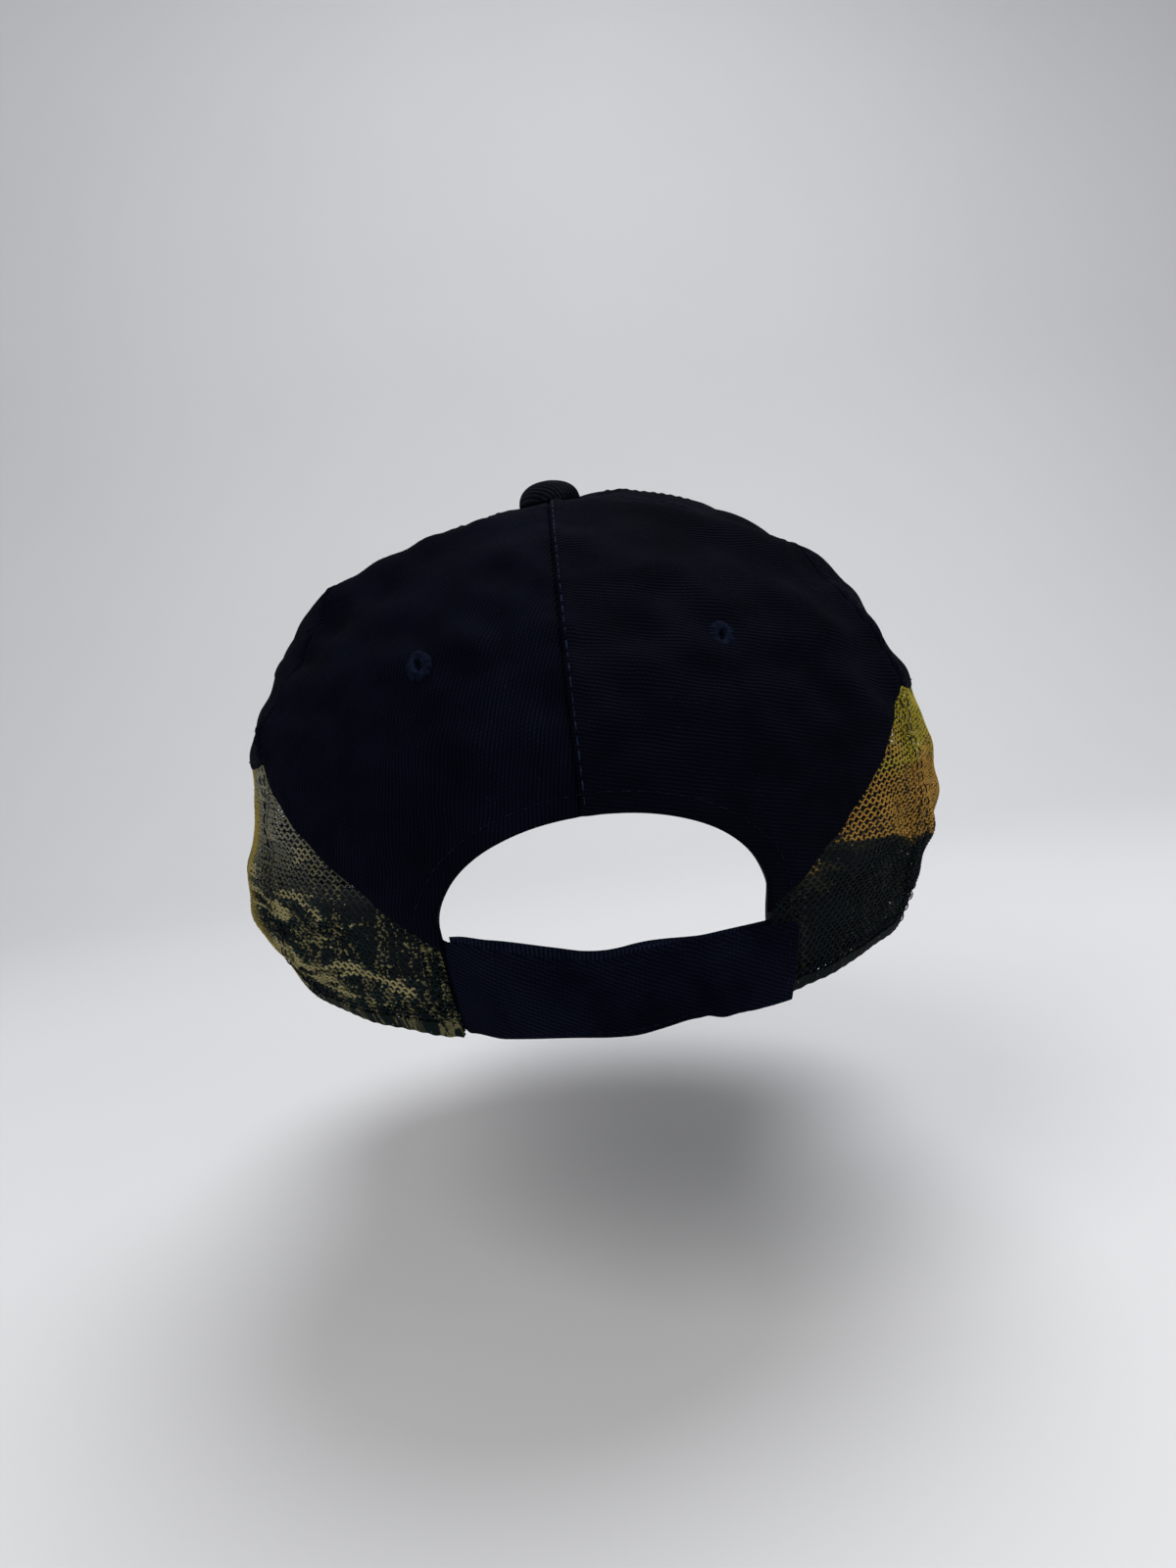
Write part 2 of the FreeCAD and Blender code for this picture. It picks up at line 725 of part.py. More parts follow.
def visor_outline(sketch, grow, root_drop):
    """Closed outline: three outer arcs, two side lines and the inner arc."""
    front, corner, centre_x, front_y, corner_y = outline_points(grow)
    vec = FreeCAD.Vector
    root_x = val("visor_root_half_width")
    root_y = val("visor_root_start_y") - root_drop
    joint = math.atan2(corner_y - front_y, centre_x)
    front_arc = Part.ArcOfCircle(Part.Circle(vec(0, front_y, 0), vec(0, 0, 1), front),
                                 joint, math.pi - joint)
    right_arc = Part.ArcOfCircle(Part.Circle(vec(centre_x, corner_y, 0), vec(0, 0, 1), corner),
                                 -val("corner_lap_angle"), joint)
    left_arc = Part.ArcOfCircle(Part.Circle(vec(-centre_x, corner_y, 0), vec(0, 0, 1), corner),
                                math.pi - joint, math.pi + val("corner_lap_angle"))
    inner = val("visor_inner_radius")
    inner_y = root_y - math.sqrt(inner * inner - root_x * root_x)
    spread = math.atan2(root_y - inner_y, root_x)
    inner_arc = Part.ArcOfCircle(Part.Circle(vec(0, inner_y, 0), vec(0, 0, 1), inner),
                                 spread, math.pi - spread)
    right_low = right_arc.StartPoint
    left_low = left_arc.EndPoint
    items = [
        front_arc,
        right_arc,
        left_arc,
        Part.LineSegment(right_low, vec(root_x, root_y, 0)),
        Part.LineSegment(left_low, vec(-root_x, root_y, 0)),
        inner_arc,
    ]
    f, r, l, rl, ll, n = sketch.addGeometry(items, False)
    join = Sketcher.Constraint
    sketch.addConstraint(join("Tangent", f, 1, r, 2))
    sketch.addConstraint(join("Tangent", f, 2, l, 1))
    sketch.addConstraint(join("Tangent", r, 1, rl, 1))
    sketch.addConstraint(join("Tangent", l, 2, ll, 1))
    sketch.addConstraint(join("Coincident", rl, 2, n, 1))
    sketch.addConstraint(join("Coincident", ll, 2, n, 2))

    def bind(constraint, text):
        index = sketch.addConstraint(constraint)
        sketch.setExpression("Constraints[%d]" % index, text)

    more = " + %g mm" % grow
    bind(join("Radius", f, front), "dims.visor_front_radius * 1 mm" + more)
    bind(join("Radius", r, corner), "dims.visor_corner_radius * 1 mm" + more)
    bind(join("Radius", l, corner), "dims.visor_corner_radius * 1 mm" + more)
    bind(join("Radius", n, inner), "dims.visor_inner_radius * 1 mm")
    sketch.addConstraint(join("PointOnObject", f, 3, -2))
    wide = "(dims.visor_half_width - dims.visor_corner_radius) * 1 mm"
    bind(join("DistanceX", -1, 1, r, 3, centre_x), wide)
    bind(join("DistanceX", l, 3, -1, 1, centre_x), wide)
    bind(join("DistanceY", -1, 1, f, 3, front_y),
         "(dims.visor_tip_y - dims.visor_front_radius) * 1 mm")
    less = " - %g mm" % root_drop
    bind(join("DistanceX", -1, 1, rl, 2, root_x), "dims.visor_root_half_width * 1 mm")
    bind(join("DistanceX", ll, 2, -1, 1, root_x), "dims.visor_root_half_width * 1 mm")
    bind(join("DistanceY", -1, 1, rl, 2, root_y), "dims.visor_root_start_y * 1 mm" + less)
    bind(join("DistanceY", -1, 1, ll, 2, root_y), "dims.visor_root_start_y * 1 mm" + less)


def frame_rectangle(sketch):
    """Large rectangle round the outline: what lies between is cut away."""
    vec = FreeCAD.Vector
    wide = val("trim_half_width")
    long = val("trim_half_length")
    corners = [vec(-wide, -long, 0), vec(wide, -long, 0), vec(wide, long, 0), vec(-wide, long, 0)]
    lines = []
    for k in range(4):
        lines.append(Part.LineSegment(corners[k], corners[(k + 1) % 4]))
    ids = sketch.addGeometry(lines, False)
    for k in range(4):
        sketch.addConstraint(Sketcher.Constraint("Coincident", ids[k], 2, ids[(k + 1) % 4], 1))
    for k in (0, 2):
        sketch.addConstraint(Sketcher.Constraint("Horizontal", ids[k]))
    for k in (1, 3):
        sketch.addConstraint(Sketcher.Constraint("Vertical", ids[k]))
    reaches = (
        ("DistanceX", ids[0], 1, -1, 1, "dims.trim_half_width * 1 mm", wide),
        ("DistanceY", ids[0], 1, -1, 1, "dims.trim_half_length * 1 mm", long),
        ("DistanceX", -1, 1, ids[2], 1, "dims.trim_half_width * 1 mm", wide),
        ("DistanceY", -1, 1, ids[2], 1, "dims.trim_half_length * 1 mm", long),
    )
    for kind, first, start, second, finish, text, reach in reaches:
        constraint = Sketcher.Constraint(kind, first, start, second, finish, reach)
        index = sketch.addConstraint(constraint)
        sketch.setExpression("Constraints[%d]" % index, text)


def visor_layer(name, depth, thickness, grow, hollow):
    """Curved sheet of the visor at a depth below its top face."""
    body = doc.addObject("PartDesign::Body", name)
    body.Label = name
    vec = FreeCAD.Vector
    half = val("slab_half_width")
    bend = val("visor_bend_radius")
    upper = bend - depth
    lower = upper - thickness
    up_z = math.sqrt(upper * upper - half * half) - bend
    low_z = math.sqrt(lower * lower - half * half) - bend
    section = body.newObject("Sketcher::SketchObject", name + "_section")
    section.AttachmentSupport = [(origin_plane(body, "XZ_Plane"), "")]
    section.MapMode = "FlatFace"
    a_up = math.asin(half / upper)
    a_low = math.asin(half / lower)
    ring_up = Part.Circle(vec(0, -bend, 0), vec(0, 0, 1), upper)
    ring_low = Part.Circle(vec(0, -bend, 0), vec(0, 0, 1), lower)
    arc_up = Part.ArcOfCircle(ring_up, math.pi / 2 - a_up, math.pi / 2 + a_up)
    arc_low = Part.ArcOfCircle(ring_low, math.pi / 2 - a_low, math.pi / 2 + a_low)
    right = Part.LineSegment(vec(half, up_z, 0), vec(half, low_z, 0))
    left = Part.LineSegment(vec(-half, up_z, 0), vec(-half, low_z, 0))
    u, w, r, l = section.addGeometry([arc_up, arc_low, right, left], False)
    join = Sketcher.Constraint
    section.addConstraint(join("Coincident", u, 1, r, 1))
    section.addConstraint(join("Coincident", u, 2, l, 1))
    section.addConstraint(join("Coincident", w, 1, r, 2))
    section.addConstraint(join("Coincident", w, 2, l, 2))
    section.addConstraint(join("Vertical", r))
    section.addConstraint(join("Vertical", l))
    section.addConstraint(join("Coincident", u, 3, w, 3))
    section.addConstraint(join("PointOnObject", u, 3, -2))
    index = section.addConstraint(join("DistanceY", u, 3, -1, 1, bend))
    section.setExpression("Constraints[%d]" % index, "dims.visor_bend_radius * 1 mm")
    index = section.addConstraint(join("Radius", u, upper))
    section.setExpression("Constraints[%d]" % index,
                          "dims.visor_bend_radius * 1 mm - %g mm" % depth)
    index = section.addConstraint(join("Radius", w, lower))
    section.setExpression("Constraints[%d]" % index,
                          "dims.visor_bend_radius * 1 mm - %g mm" % (depth + thickness))
    section.addConstraint(join("DistanceX", -1, 1, r, 1, half))
    section.addConstraint(join("DistanceX", l, 1, -1, 1, half))
    pad = body.newObject("PartDesign::Pad", name + "_pad")
    pad.Profile = section
    pad.setExpression("Length", "dims.slab_length")
    pad.Midplane = True
    doc.recompute()
    trim = body.newObject("Sketcher::SketchObject", name + "_outline")
    trim.AttachmentSupport = [(origin_plane(body, "XY_Plane"), "")]
    trim.MapMode = "FlatFace"
    visor_outline(trim, grow, 0.0)
    frame_rectangle(trim)
    doc.recompute()
    cut = body.newObject("PartDesign::Pocket", name + "_trim")
    cut.Profile = trim
    cut.Type = 1
    cut.Midplane = True
    doc.recompute()
    if hollow is not None:
        core = body.newObject("Sketcher::SketchObject", name + "_core")
        core.AttachmentSupport = [(origin_plane(body, "XY_Plane"), "")]
        core.MapMode = "FlatFace"
        visor_outline(core, hollow, val("core_drop"))
        doc.recompute()
        opening = body.newObject("PartDesign::Pocket", name + "_opening")
        opening.Profile = core
        opening.Type = 1
        opening.Midplane = True
        doc.recompute()
    slope = FreeCAD.Rotation(FreeCAD.Vector(1, 0, 0), -val("visor_slope"))
    pivot = FreeCAD.Vector(0, val("visor_root_y"), val("visor_root_height"))
    drop = slope.multVec(FreeCAD.Vector(0, -val("visor_root_y"), 0))
    body.Placement = FreeCAD.Placement(pivot.add(drop), slope)
    return body


cover = val("visor_cover_thickness")
board = val("visor_board_thickness")
rim = val("visor_edge_width")
visor_layer("visor_top_cover", 0.0, cover, rim, None)
visor_layer("visor_board", cover + gap, board - 2 * gap, 0.0, None)
visor_layer("visor_edge", cover + gap, board - 2 * gap, rim, val("core_gap"))
visor_layer("visor_under_cover", cover + board, cover, rim, None)

doc.recompute()

# ---------------------------------------------------------------- checks and export

NODES = ["visor_top_cover", "visor_board", "visor_edge", "visor_under_cover",
         "button_cover", "button_shell", "button_rivet", "button_back_washer",
         "seam_tape_back", "seam_tape_centre", "arch_facing", "sweatband",
         "outer_strap", "hook_patch", "inner_strap", "loop_patch",
         "outer_strap_tab", "inner_strap_tab"]
for stem_name in ("back_panel", "side_panel", "front_panel", "back_mesh", "side_mesh",
                  "eyelet_back", "eyelet_side", "eyelet_front", "seam_tape_side",
                  "seam_tape_front", "front_buckram"):
    for word, side in SIDES:
        NODES.append("%s_%s" % (stem_name, word))

for item in doc.Objects:
    for flag in item.State:
        if flag in ("Invalid", "Error"):
            raise RuntimeError("%s is %s" % (item.Name, flag))

os.makedirs("parts", exist_ok=True)
for name in NODES:
    shape = doc.getObject(name).Shape
    if shape.isNull() or not shape.isValid():
        raise RuntimeError("bad shape: " + name)
    if len(shape.Solids) != 1:
        raise RuntimeError("%s has %d solids" % (name, len(shape.Solids)))
    shape.exportStep("parts/%s.step" % name)
    box = shape.BoundBox
    print("%-22s vol %8.1f  x %6.1f %6.1f  y %6.1f %6.1f  z %6.1f %6.1f" % (
        name, shape.Volume, box.XMin, box.XMax, box.YMin, box.YMax, box.ZMin, box.ZMax))
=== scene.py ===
"""Looks of the trucker mesh cap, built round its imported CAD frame.

Units: the crown's own sizes are written in millimetres and turned into metres
by MM. Frame: +Z up through the button, +Y to the visor, strap at -Y.
"""
import math

import bmesh
import bpy
import numpy as np
from mathutils import Matrix, Vector


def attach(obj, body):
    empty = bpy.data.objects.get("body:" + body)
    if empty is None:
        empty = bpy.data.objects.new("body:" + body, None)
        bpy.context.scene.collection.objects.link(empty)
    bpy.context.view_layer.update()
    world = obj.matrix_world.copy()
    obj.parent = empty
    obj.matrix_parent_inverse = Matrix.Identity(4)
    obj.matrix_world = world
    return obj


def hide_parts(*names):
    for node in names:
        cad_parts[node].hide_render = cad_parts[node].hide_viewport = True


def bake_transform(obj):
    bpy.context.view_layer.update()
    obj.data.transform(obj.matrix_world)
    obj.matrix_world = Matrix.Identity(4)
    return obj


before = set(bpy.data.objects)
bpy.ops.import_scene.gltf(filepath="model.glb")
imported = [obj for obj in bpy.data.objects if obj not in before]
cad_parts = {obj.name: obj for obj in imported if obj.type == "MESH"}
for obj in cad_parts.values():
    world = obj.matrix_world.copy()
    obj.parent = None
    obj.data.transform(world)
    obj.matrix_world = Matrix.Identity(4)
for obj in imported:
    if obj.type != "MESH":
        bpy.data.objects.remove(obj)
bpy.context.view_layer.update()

MM = 0.001
TWO_PI = 2 * math.pi
RNG = np.random.default_rng(7)
SIDES = (("left", -1), ("right", 1))
# Side -1 is at -X, on the left as seen from behind. Depths below are measured from
# the crown's outer face, negative towards the head.


# ------------------------------------------------------------------ crown surface
# Radius and height of the profile's control points, hem to button, in mm.

BACK = np.array([(88, 1), (93, 20), (97, 46), (93, 76), (70, 107), (34, 122), (0, 124)]) * MM
SIDE = np.array([(85, 6), (96, 22), (99, 46), (87, 76), (72, 104), (38, 121), (0, 124)]) * MM
FRONT = np.array([(97, 31), (100, 48), (99, 76), (88, 106), (60, 124), (28, 127), (0, 124)]) * MM
HEM_BACK = 0.6 * MM
HEM_SIDE = 9.0 * MM
VISOR_TURN = 0.27
SIDE_SEAM = math.radians(57)
FRONT_SEAM = math.radians(120)
APEX_RADIUS = 4.0 * MM
INSIDE_HEIGHT = 50 * MM

VISOR_BEND = 185 * MM
VISOR_SLOPE = math.radians(2.5)
VISOR_ROOT_Y = 97 * MM
VISOR_ROOT_Z = 32.9 * MM

DEGREE = 3
SPANS = len(BACK) - DEGREE
KNOTS = [0.0] * (DEGREE + 1) + [k / SPANS for k in range(1, SPANS)] + [1.0] * (DEGREE + 1)


def exact_weights(v):
    """Weights of the profile points for an array of height parameters."""
    level = []
    for i in range(len(KNOTS) - 1):
        level.append(((v >= KNOTS[i]) & (v < KNOTS[i + 1])).astype(float))
    for d in range(1, DEGREE + 1):
        upper = []
        for i in range(len(level) - 1):
            total = np.zeros_like(v)
            left = KNOTS[i + d] - KNOTS[i]
            right = KNOTS[i + d + 1] - KNOTS[i + 1]
            if left > 0:
                total = total + (v - KNOTS[i]) / left * level[i]
            if right > 0:
                total = total + (KNOTS[i + d + 1] - v) / right * level[i + 1]
            upper.append(total)
        level = upper
    return np.stack(level, -1)


WEIGHT_STEPS = 4000
WEIGHT_TABLE = exact_weights(np.clip(np.linspace(0, 1, WEIGHT_STEPS + 1), 0, 1 - 1e-9))


def weights(v):
    """The same weights, read between the rows of a fine table."""
    at = np.clip(v, 0.0, 1.0) * WEIGHT_STEPS
    row = np.minimum(at.astype(int), WEIGHT_STEPS - 1)
    share = (at - row)[..., None]
    return WEIGHT_TABLE[row] * (1 - share) + WEIGHT_TABLE[row + 1] * share


def from_axis(points):
    """Distance of points from the upright axis through the button."""
    return np.hypot(points[..., 0], points[..., 1])


def run_length(points):
    """Length along a path up to each of its points."""
    steps = np.linalg.norm(np.diff(points, axis=0), axis=1)
    return np.concatenate([[0], np.cumsum(steps)])


def read_at(at, known, rows):
    """Rows of numbers, read at places between the known ones."""
    return np.stack([np.interp(at, known, column) for column in rows.T], -1)


def visor_top(x, y):
    """Height of the visor's top face: a bent board that slopes down to its front."""
    sag = VISOR_BEND - np.sqrt(np.maximum(VISOR_BEND ** 2 - x * x, 0.0))
    return VISOR_ROOT_Z - sag - (y - VISOR_ROOT_Y) * math.tan(VISOR_SLOPE)


def hem(turn, tuck=0.0):
    """Height of the hem; turn runs from -1 at the back to 1 in front."""
    front = np.clip(turn, VISOR_TURN, 1.0)
    radius = SIDE[0, 0] * (1 - front ** 2) + FRONT[0, 0] * front ** 2
    top = visor_top(radius * np.sqrt(1 - front ** 2), radius * front)
    behind = HEM_SIDE + (HEM_SIDE - HEM_BACK) * turn
    rising = HEM_SIDE + (top - HEM_SIDE) * turn / VISOR_TURN
    low = np.where(turn <= 0, behind, np.where(turn < VISOR_TURN, rising, top))
    return low - tuck * np.clip((turn - VISOR_TURN) / 0.2, 0, 1)


def crown(angle, v):
    """Point of the crown's outer surface; angle in radians from the back seam."""
    angle, v = np.broadcast_arrays(np.asarray(angle, float), np.asarray(v, float))
    turn = -np.cos(angle)
    across = np.sin(angle)
    w_back = np.where(turn < 0, turn ** 2, 0.0)
    w_front = np.where(turn > 0, turn ** 2, 0.0)
    w_side = across ** 2
    w = weights(v)
    both = (w_back[..., None] * (w @ BACK) + w_side[..., None] * (w @ SIDE)
            + w_front[..., None] * (w @ FRONT))
    radius = both[..., 0]
    plain = w_back * BACK[0, 1] + w_side * SIDE[0, 1] + w_front * FRONT[0, 1]
    height = both[..., 1] + (hem(turn) - plain) * (w[..., 0] + 0.5 * w[..., 1])
    return np.stack([radius * across, radius * turn, height], -1)


def crown_normal(angle, v):
    """Outward direction of the smooth crown, from its neighbouring points."""
    step = 0.002
    along = crown(angle + step, v) - crown(angle - step, v)
    up = crown(angle, np.minimum(v + step, 0.999)) - crown(angle, np.maximum(v - step, 0.0))
    n = np.cross(along, up)
    n /= np.linalg.norm(n, axis=-1, keepdims=True)
    out = crown(angle, v) - np.array([0, 0, INSIDE_HEIGHT])
    flip = np.sign((n * out).sum(-1, keepdims=True))
    return n * flip


def solve(value, wanted, low, high, rising):
    """Where a function of one array crosses the wanted values, by halving."""
    low = np.full(np.shape(wanted), float(low))
    high = np.full(np.shape(wanted), float(high))
    for _ in range(30):
        middle = 0.5 * (low + high)
        below = (value(middle) < wanted) == rising
        low = np.where(below, middle, low)
        high = np.where(below, high, middle)
    return low


TABLE_ANGLES = np.linspace(-math.pi, math.pi, 1441)
TABLE_HEIGHTS = np.linspace(-2 * MM, 124 * MM, 505)


def height_table():
    """Height parameter for each pair of table angle and table height."""
    levels = np.linspace(0, 1, 801)
    rows = []
    for angle in TABLE_ANGLES:
        z = np.maximum.accumulate(crown(np.full(len(levels), angle), levels)[:, 2])
        rows.append(np.interp(TABLE_HEIGHTS, z + 1e-9 * levels, levels))
    return np.array(rows)


HEIGHT_TABLE = height_table()


def v_at_height(angle, height):
    """Height parameter of the surface at this angle and height."""
    angle, height = np.broadcast_arrays(np.asarray(angle, float), np.asarray(height, float))
    turned = np.mod(angle + math.pi, 2 * math.pi)
    a = turned / (TABLE_ANGLES[1] - TABLE_ANGLES[0])
    h = (height - TABLE_HEIGHTS[0]) / (TABLE_HEIGHTS[1] - TABLE_HEIGHTS[0])
    a = np.clip(a, 0, len(TABLE_ANGLES) - 1.001)
    h = np.clip(h, 0, len(TABLE_HEIGHTS) - 1.001)
    i = a.astype(int)
    j = h.astype(int)
    a = a - i
    h = h - j
    lower = HEIGHT_TABLE[i, j] * (1 - h) + HEIGHT_TABLE[i, j + 1] * h
    upper = HEIGHT_TABLE[i + 1, j] * (1 - h) + HEIGHT_TABLE[i + 1, j + 1] * h
    return lower * (1 - a) + upper * a


def v_at_radius(angle, radius):
    """Height parameter near the button where the surface has this radius."""
    angle, radius = np.broadcast_arrays(np.asarray(angle, float), np.asarray(radius, float))
    return solve(lambda v: from_axis(crown(angle, v)), radius, 0.4, 1.0, False)


def angle_at_x(x, height):
    """Angle from the back seam where the surface has this x at this height."""
    x, height = np.broadcast_arrays(np.asarray(x, float), np.asarray(height, float))
    found = solve(lambda a: crown(a, v_at_height(a, height))[..., 0], np.abs(x), 0, math.pi / 2, True)
    return np.copysign(found, x)


# ------------------------------------------------------------------ folds of the worn cloth
# Each fold is a line between two places, given as angle in degrees and height in
# mm, with its width and its height in mm. Hollows have a negative height.

FOLDS = (
    ((-92, 92), (-70, 99), 9, 1.6),
    ((-70, 99), (-40, 109), 8, 2.4),
    ((-40, 109), (-10, 117), 7, 2.2),
    ((-104, 104), (-66, 112), 13, -6.0),
    ((-66, 112), (-24, 120), 10, -4.0),
    ((-88, 78), (-72, 92), 14, -3.2),
    ((-64, 76), (-40, 100), 11, -1.4),
    ((6, 119), (30, 113), 7, 2.0),
    ((30, 113), (52, 103), 7, 2.2),
    ((52, 103), (72, 91), 7, 1.8),
    ((28, 120), (56, 114), 8, -3.0),
    ((56, 114), (84, 105), 9, -5.5),
    ((30, 104), (46, 98), 8, -1.6),
    ((104, 113), (140, 121), 16, 6.0),
    ((116, 121.5), (166, 121.5), 13, 4.0),
    ((-150, 121), (-118, 118), 14, 2.0),
    ((-60, 64), (-57, 80), 6, 2.4),
    ((59, 68), (57, 84), 7, 2.2),
    ((-48, 92), (-38, 60), 8, -1.3),
    ((-28, 84), (-18, 56), 7, 1.0),
    ((-14, 100), (-8, 76), 6, -0.8),
    ((16, 92), (34, 66), 8, -1.3),
    ((38, 94), (48, 62), 7, 1.2),
    ((6, 78), (22, 60), 7, 0.9),
    ((-114, 48), (-62, 49), 14, -8.0),
    ((-104, 18), (-92, 28), 14, -1.5),
    ((64, 122.6), (112, 122.6), 10, 3.5),
    ((84, 97), (106, 84), 10, -3.0),
    ((-70, 24), (-62, 52), 7, 1.2),
    ((72, 34), (92, 30), 12, 1.2),
    ((62, 50), (70, 30), 7, -1.4),
    ((-50, 24), (-36, 12), 8, -1.2),
    ((50, 30), (38, 14), 8, -1.2),
    ((132, 92), (146, 60), 12, 1.0),
    ((-150, 100), (-128, 62), 12, 1.0),
    ((98, 80), (104, 50), 10, -1.4),
)
RIPPLES = [(RNG.normal(size=3), RNG.uniform(0, 6.28)) for _ in range(9)]
RIPPLE_LENGTH = 27 * MM
RIPPLE_HEIGHT = 0.22 * MM
CALM_RADIUS = 7 * MM
CALM_RUN = 14 * MM


def place(angle_deg, height_mm):
    """Point of the smooth crown at an angle in degrees and a height in mm."""
    angle = math.radians(angle_deg)
    return crown(angle, v_at_height(angle, height_mm * MM))


FOLD_LINES = [(place(*start), place(*end), width, height) for start, end, width, height in FOLDS]


def folds(points):
    """How far the worn cloth stands from the smooth crown, at these points."""
    total = np.zeros(points.shape[:-1])
    for a, b, width, height in FOLD_LINES:
        run = b - a
        t = np.clip(((points - a) @ run) / (run @ run), 0, 1)
        gap = np.linalg.norm(points - (a + t[..., None] * run), axis=-1) / (width * MM)
        total += height * MM * np.exp(-gap ** 2) * (0.45 + 0.55 * np.sin(np.pi * np.clip(t, .1, .9)))
    for direction, phase in RIPPLES:
        total += RIPPLE_HEIGHT * np.sin(points @ direction * 2 * np.pi / RIPPLE_LENGTH + phase)
    return total


def cloth(angle, v, depth=0.0):
    """Point of the folded cloth at a depth from the crown's outer face."""
    base = crown(angle, v)
    n = crown_normal(angle, v)
    calm = np.clip((from_axis(base) - CALM_RADIUS) / CALM_RUN, 0, 1)
    return base + n * (depth + folds(base) * calm)[..., None]


# ------------------------------------------------------------------ mesh helpers

def new_object(name, vertices, faces, uv=None):
    """Smooth-shaded mesh object; uv holds two cloth coordinates for each vertex."""
    mesh = bpy.data.meshes.new(name)
    vertices = np.asarray(vertices, float).reshape(-1, 3)
    mesh.from_pydata(vertices.tolist(), [], faces)
    if uv is not None:
        layer = mesh.uv_layers.new(name="cloth")
        loops = np.empty(len(mesh.loops), int)
        mesh.loops.foreach_get("vertex_index", loops)
        layer.data.foreach_set("uv", np.asarray(uv, float).reshape(-1, 2)[loops].ravel())
    mesh.polygons.foreach_set("use_smooth", [True] * len(mesh.polygons))
    mesh.validate()
    mesh.update()
    obj = bpy.data.objects.new(name, mesh)
    bpy.context.scene.collection.objects.link(obj)
    return obj


def grid_faces(rows, columns, start, turned):
    """Quads of a grid whose first vertex is start; turned faces them the other way."""
    index = start + np.arange(rows * columns).reshape(rows, columns)
    a = index[:-1, :-1].ravel()
    b = index[:-1, 1:].ravel()
    c = index[1:, 1:].ravel()
    d = index[1:, :-1].ravel()
    quads = np.stack([a, d, c, b] if turned else [a, b, c, d], -1)
    return quads.tolist()


def rim_faces(rows, columns, second):
    """Quads that join the borders of two grids of the same shape."""
    index = np.arange(rows * columns).reshape(rows, columns)
    ring = np.concatenate([index[0, :-1], index[:-1, -1], index[-1, :0:-1], index[:0:-1, 0]])
    after = np.roll(ring, -1)
    return np.stack([ring, ring + second, after + second, after], -1).tolist()


def slab(name, outer, inner, uv):
    """Closed sheet from an outer and an inner grid of points."""
    rows, columns = outer.shape[:2]
    count = rows * columns
    middle = (rows // 2, columns // 2)
    span = outer[middle[0] + 1, middle[1]] - outer[middle]
    side = outer[middle[0], middle[1] + 1] - outer[middle]
    facing = np.dot(np.cross(side, span), outer[middle] - inner[middle]) > 0
    rim = rim_faces(rows, columns, count)
    if not facing:
        rim = [quad[::-1] for quad in rim]
    faces = grid_faces(rows, columns, 0, not facing) + grid_faces(rows, columns, count, facing)
    return new_object(name, np.stack([outer, inner]), faces + rim, np.stack([uv, uv]))


def frames_along(points, hint):
    """Tangent and two cross directions at each point of a path."""
    tangent = np.gradient(points, axis=0)
    tangent /= np.maximum(np.linalg.norm(tangent, axis=1, keepdims=True), 1e-12)
    up = hint - (hint * tangent).sum(1, keepdims=True) * tangent
    up /= np.maximum(np.linalg.norm(up, axis=1, keepdims=True), 1e-12)
    return tangent, up, np.cross(tangent, up)


class Strands:
    """Collects many thin tubes into one mesh."""

    def __init__(self):
        self.points = []
        self.faces = []
        self.count = 0

    def tube(self, path, hint, wide, deep, sides=6, taper=False):
        """Tube of elliptical section; hint gives the direction of its depth."""
        path = np.asarray(path, float)
        hint = np.broadcast_to(np.asarray(hint, float), path.shape)
        _, up, across = frames_along(path, hint)
        turn = 2 * np.pi * np.arange(sides) / sides
        size = np.ones(len(path))
        if taper:
            size[[0, -1]] = 0.35
        ring = (np.cos(turn)[None, :, None] * across[:, None, :] * wide
                + np.sin(turn)[None, :, None] * up[:, None, :] * deep)
        rings = path[:, None, :] + ring * size[:, None, None]
        index = self.count + np.arange(len(path) * sides).reshape(len(path), sides)
        after = np.roll(index, -1, axis=1)
        quads = np.stack([index[:-1], after[:-1], after[1:], index[1:]], -1).reshape(-1, 4)
        self.faces += quads.tolist()
        self.faces.append(index[0].tolist())
        self.faces.append(index[-1, ::-1].tolist())
        self.points.append(rings.reshape(-1, 3))
        self.count += len(path) * sides

    def build(self, name):
        return new_object(name, np.concatenate(self.points), self.faces)


def resample(points, step):
    """Evenly spaced points along a path, and their distance from its start."""
    points = np.asarray(points, float)
    length = run_length(points)
    count = max(2, int(round(length[-1] / step)) + 1)
    at = np.linspace(0, length[-1], count)
    return read_at(at, length, points), at


STITCH_LENGTH = 2.5 * MM
STITCH_PITCH = 3.1 * MM
STITCH_PLACES = np.array([0, 0.18, 0.5, 0.82, 1])
STITCH_RISE = np.array([-1.6, 0.1, 0.75, 0.1, -1.6])
THREAD = 0.19 * MM


def stitch_row(strands, points, normals, lift=0.0):
    """Row of lockstitches that dive into the cloth at both ends."""
    line, at = resample(points, STITCH_PITCH / 6)
    share = np.linspace(0, 1, len(line))
    source = np.linspace(0, 1, len(normals))
    hints = read_at(share, source, normals)
    hints /= np.linalg.norm(hints, axis=1, keepdims=True)
    rise = STITCH_RISE * THREAD + lift
    for start in np.arange(0.3 * STITCH_PITCH, at[-1] - STITCH_LENGTH, STITCH_PITCH):
        inside = start + STITCH_PLACES * STITCH_LENGTH * RNG.uniform(0.93, 1.05)
        n = read_at(inside, at, hints)
        path = read_at(inside, at, line) + n * rise[:, None]
        strands.tube(path, n, THREAD, THREAD * 0.85, sides=5, taper=True)


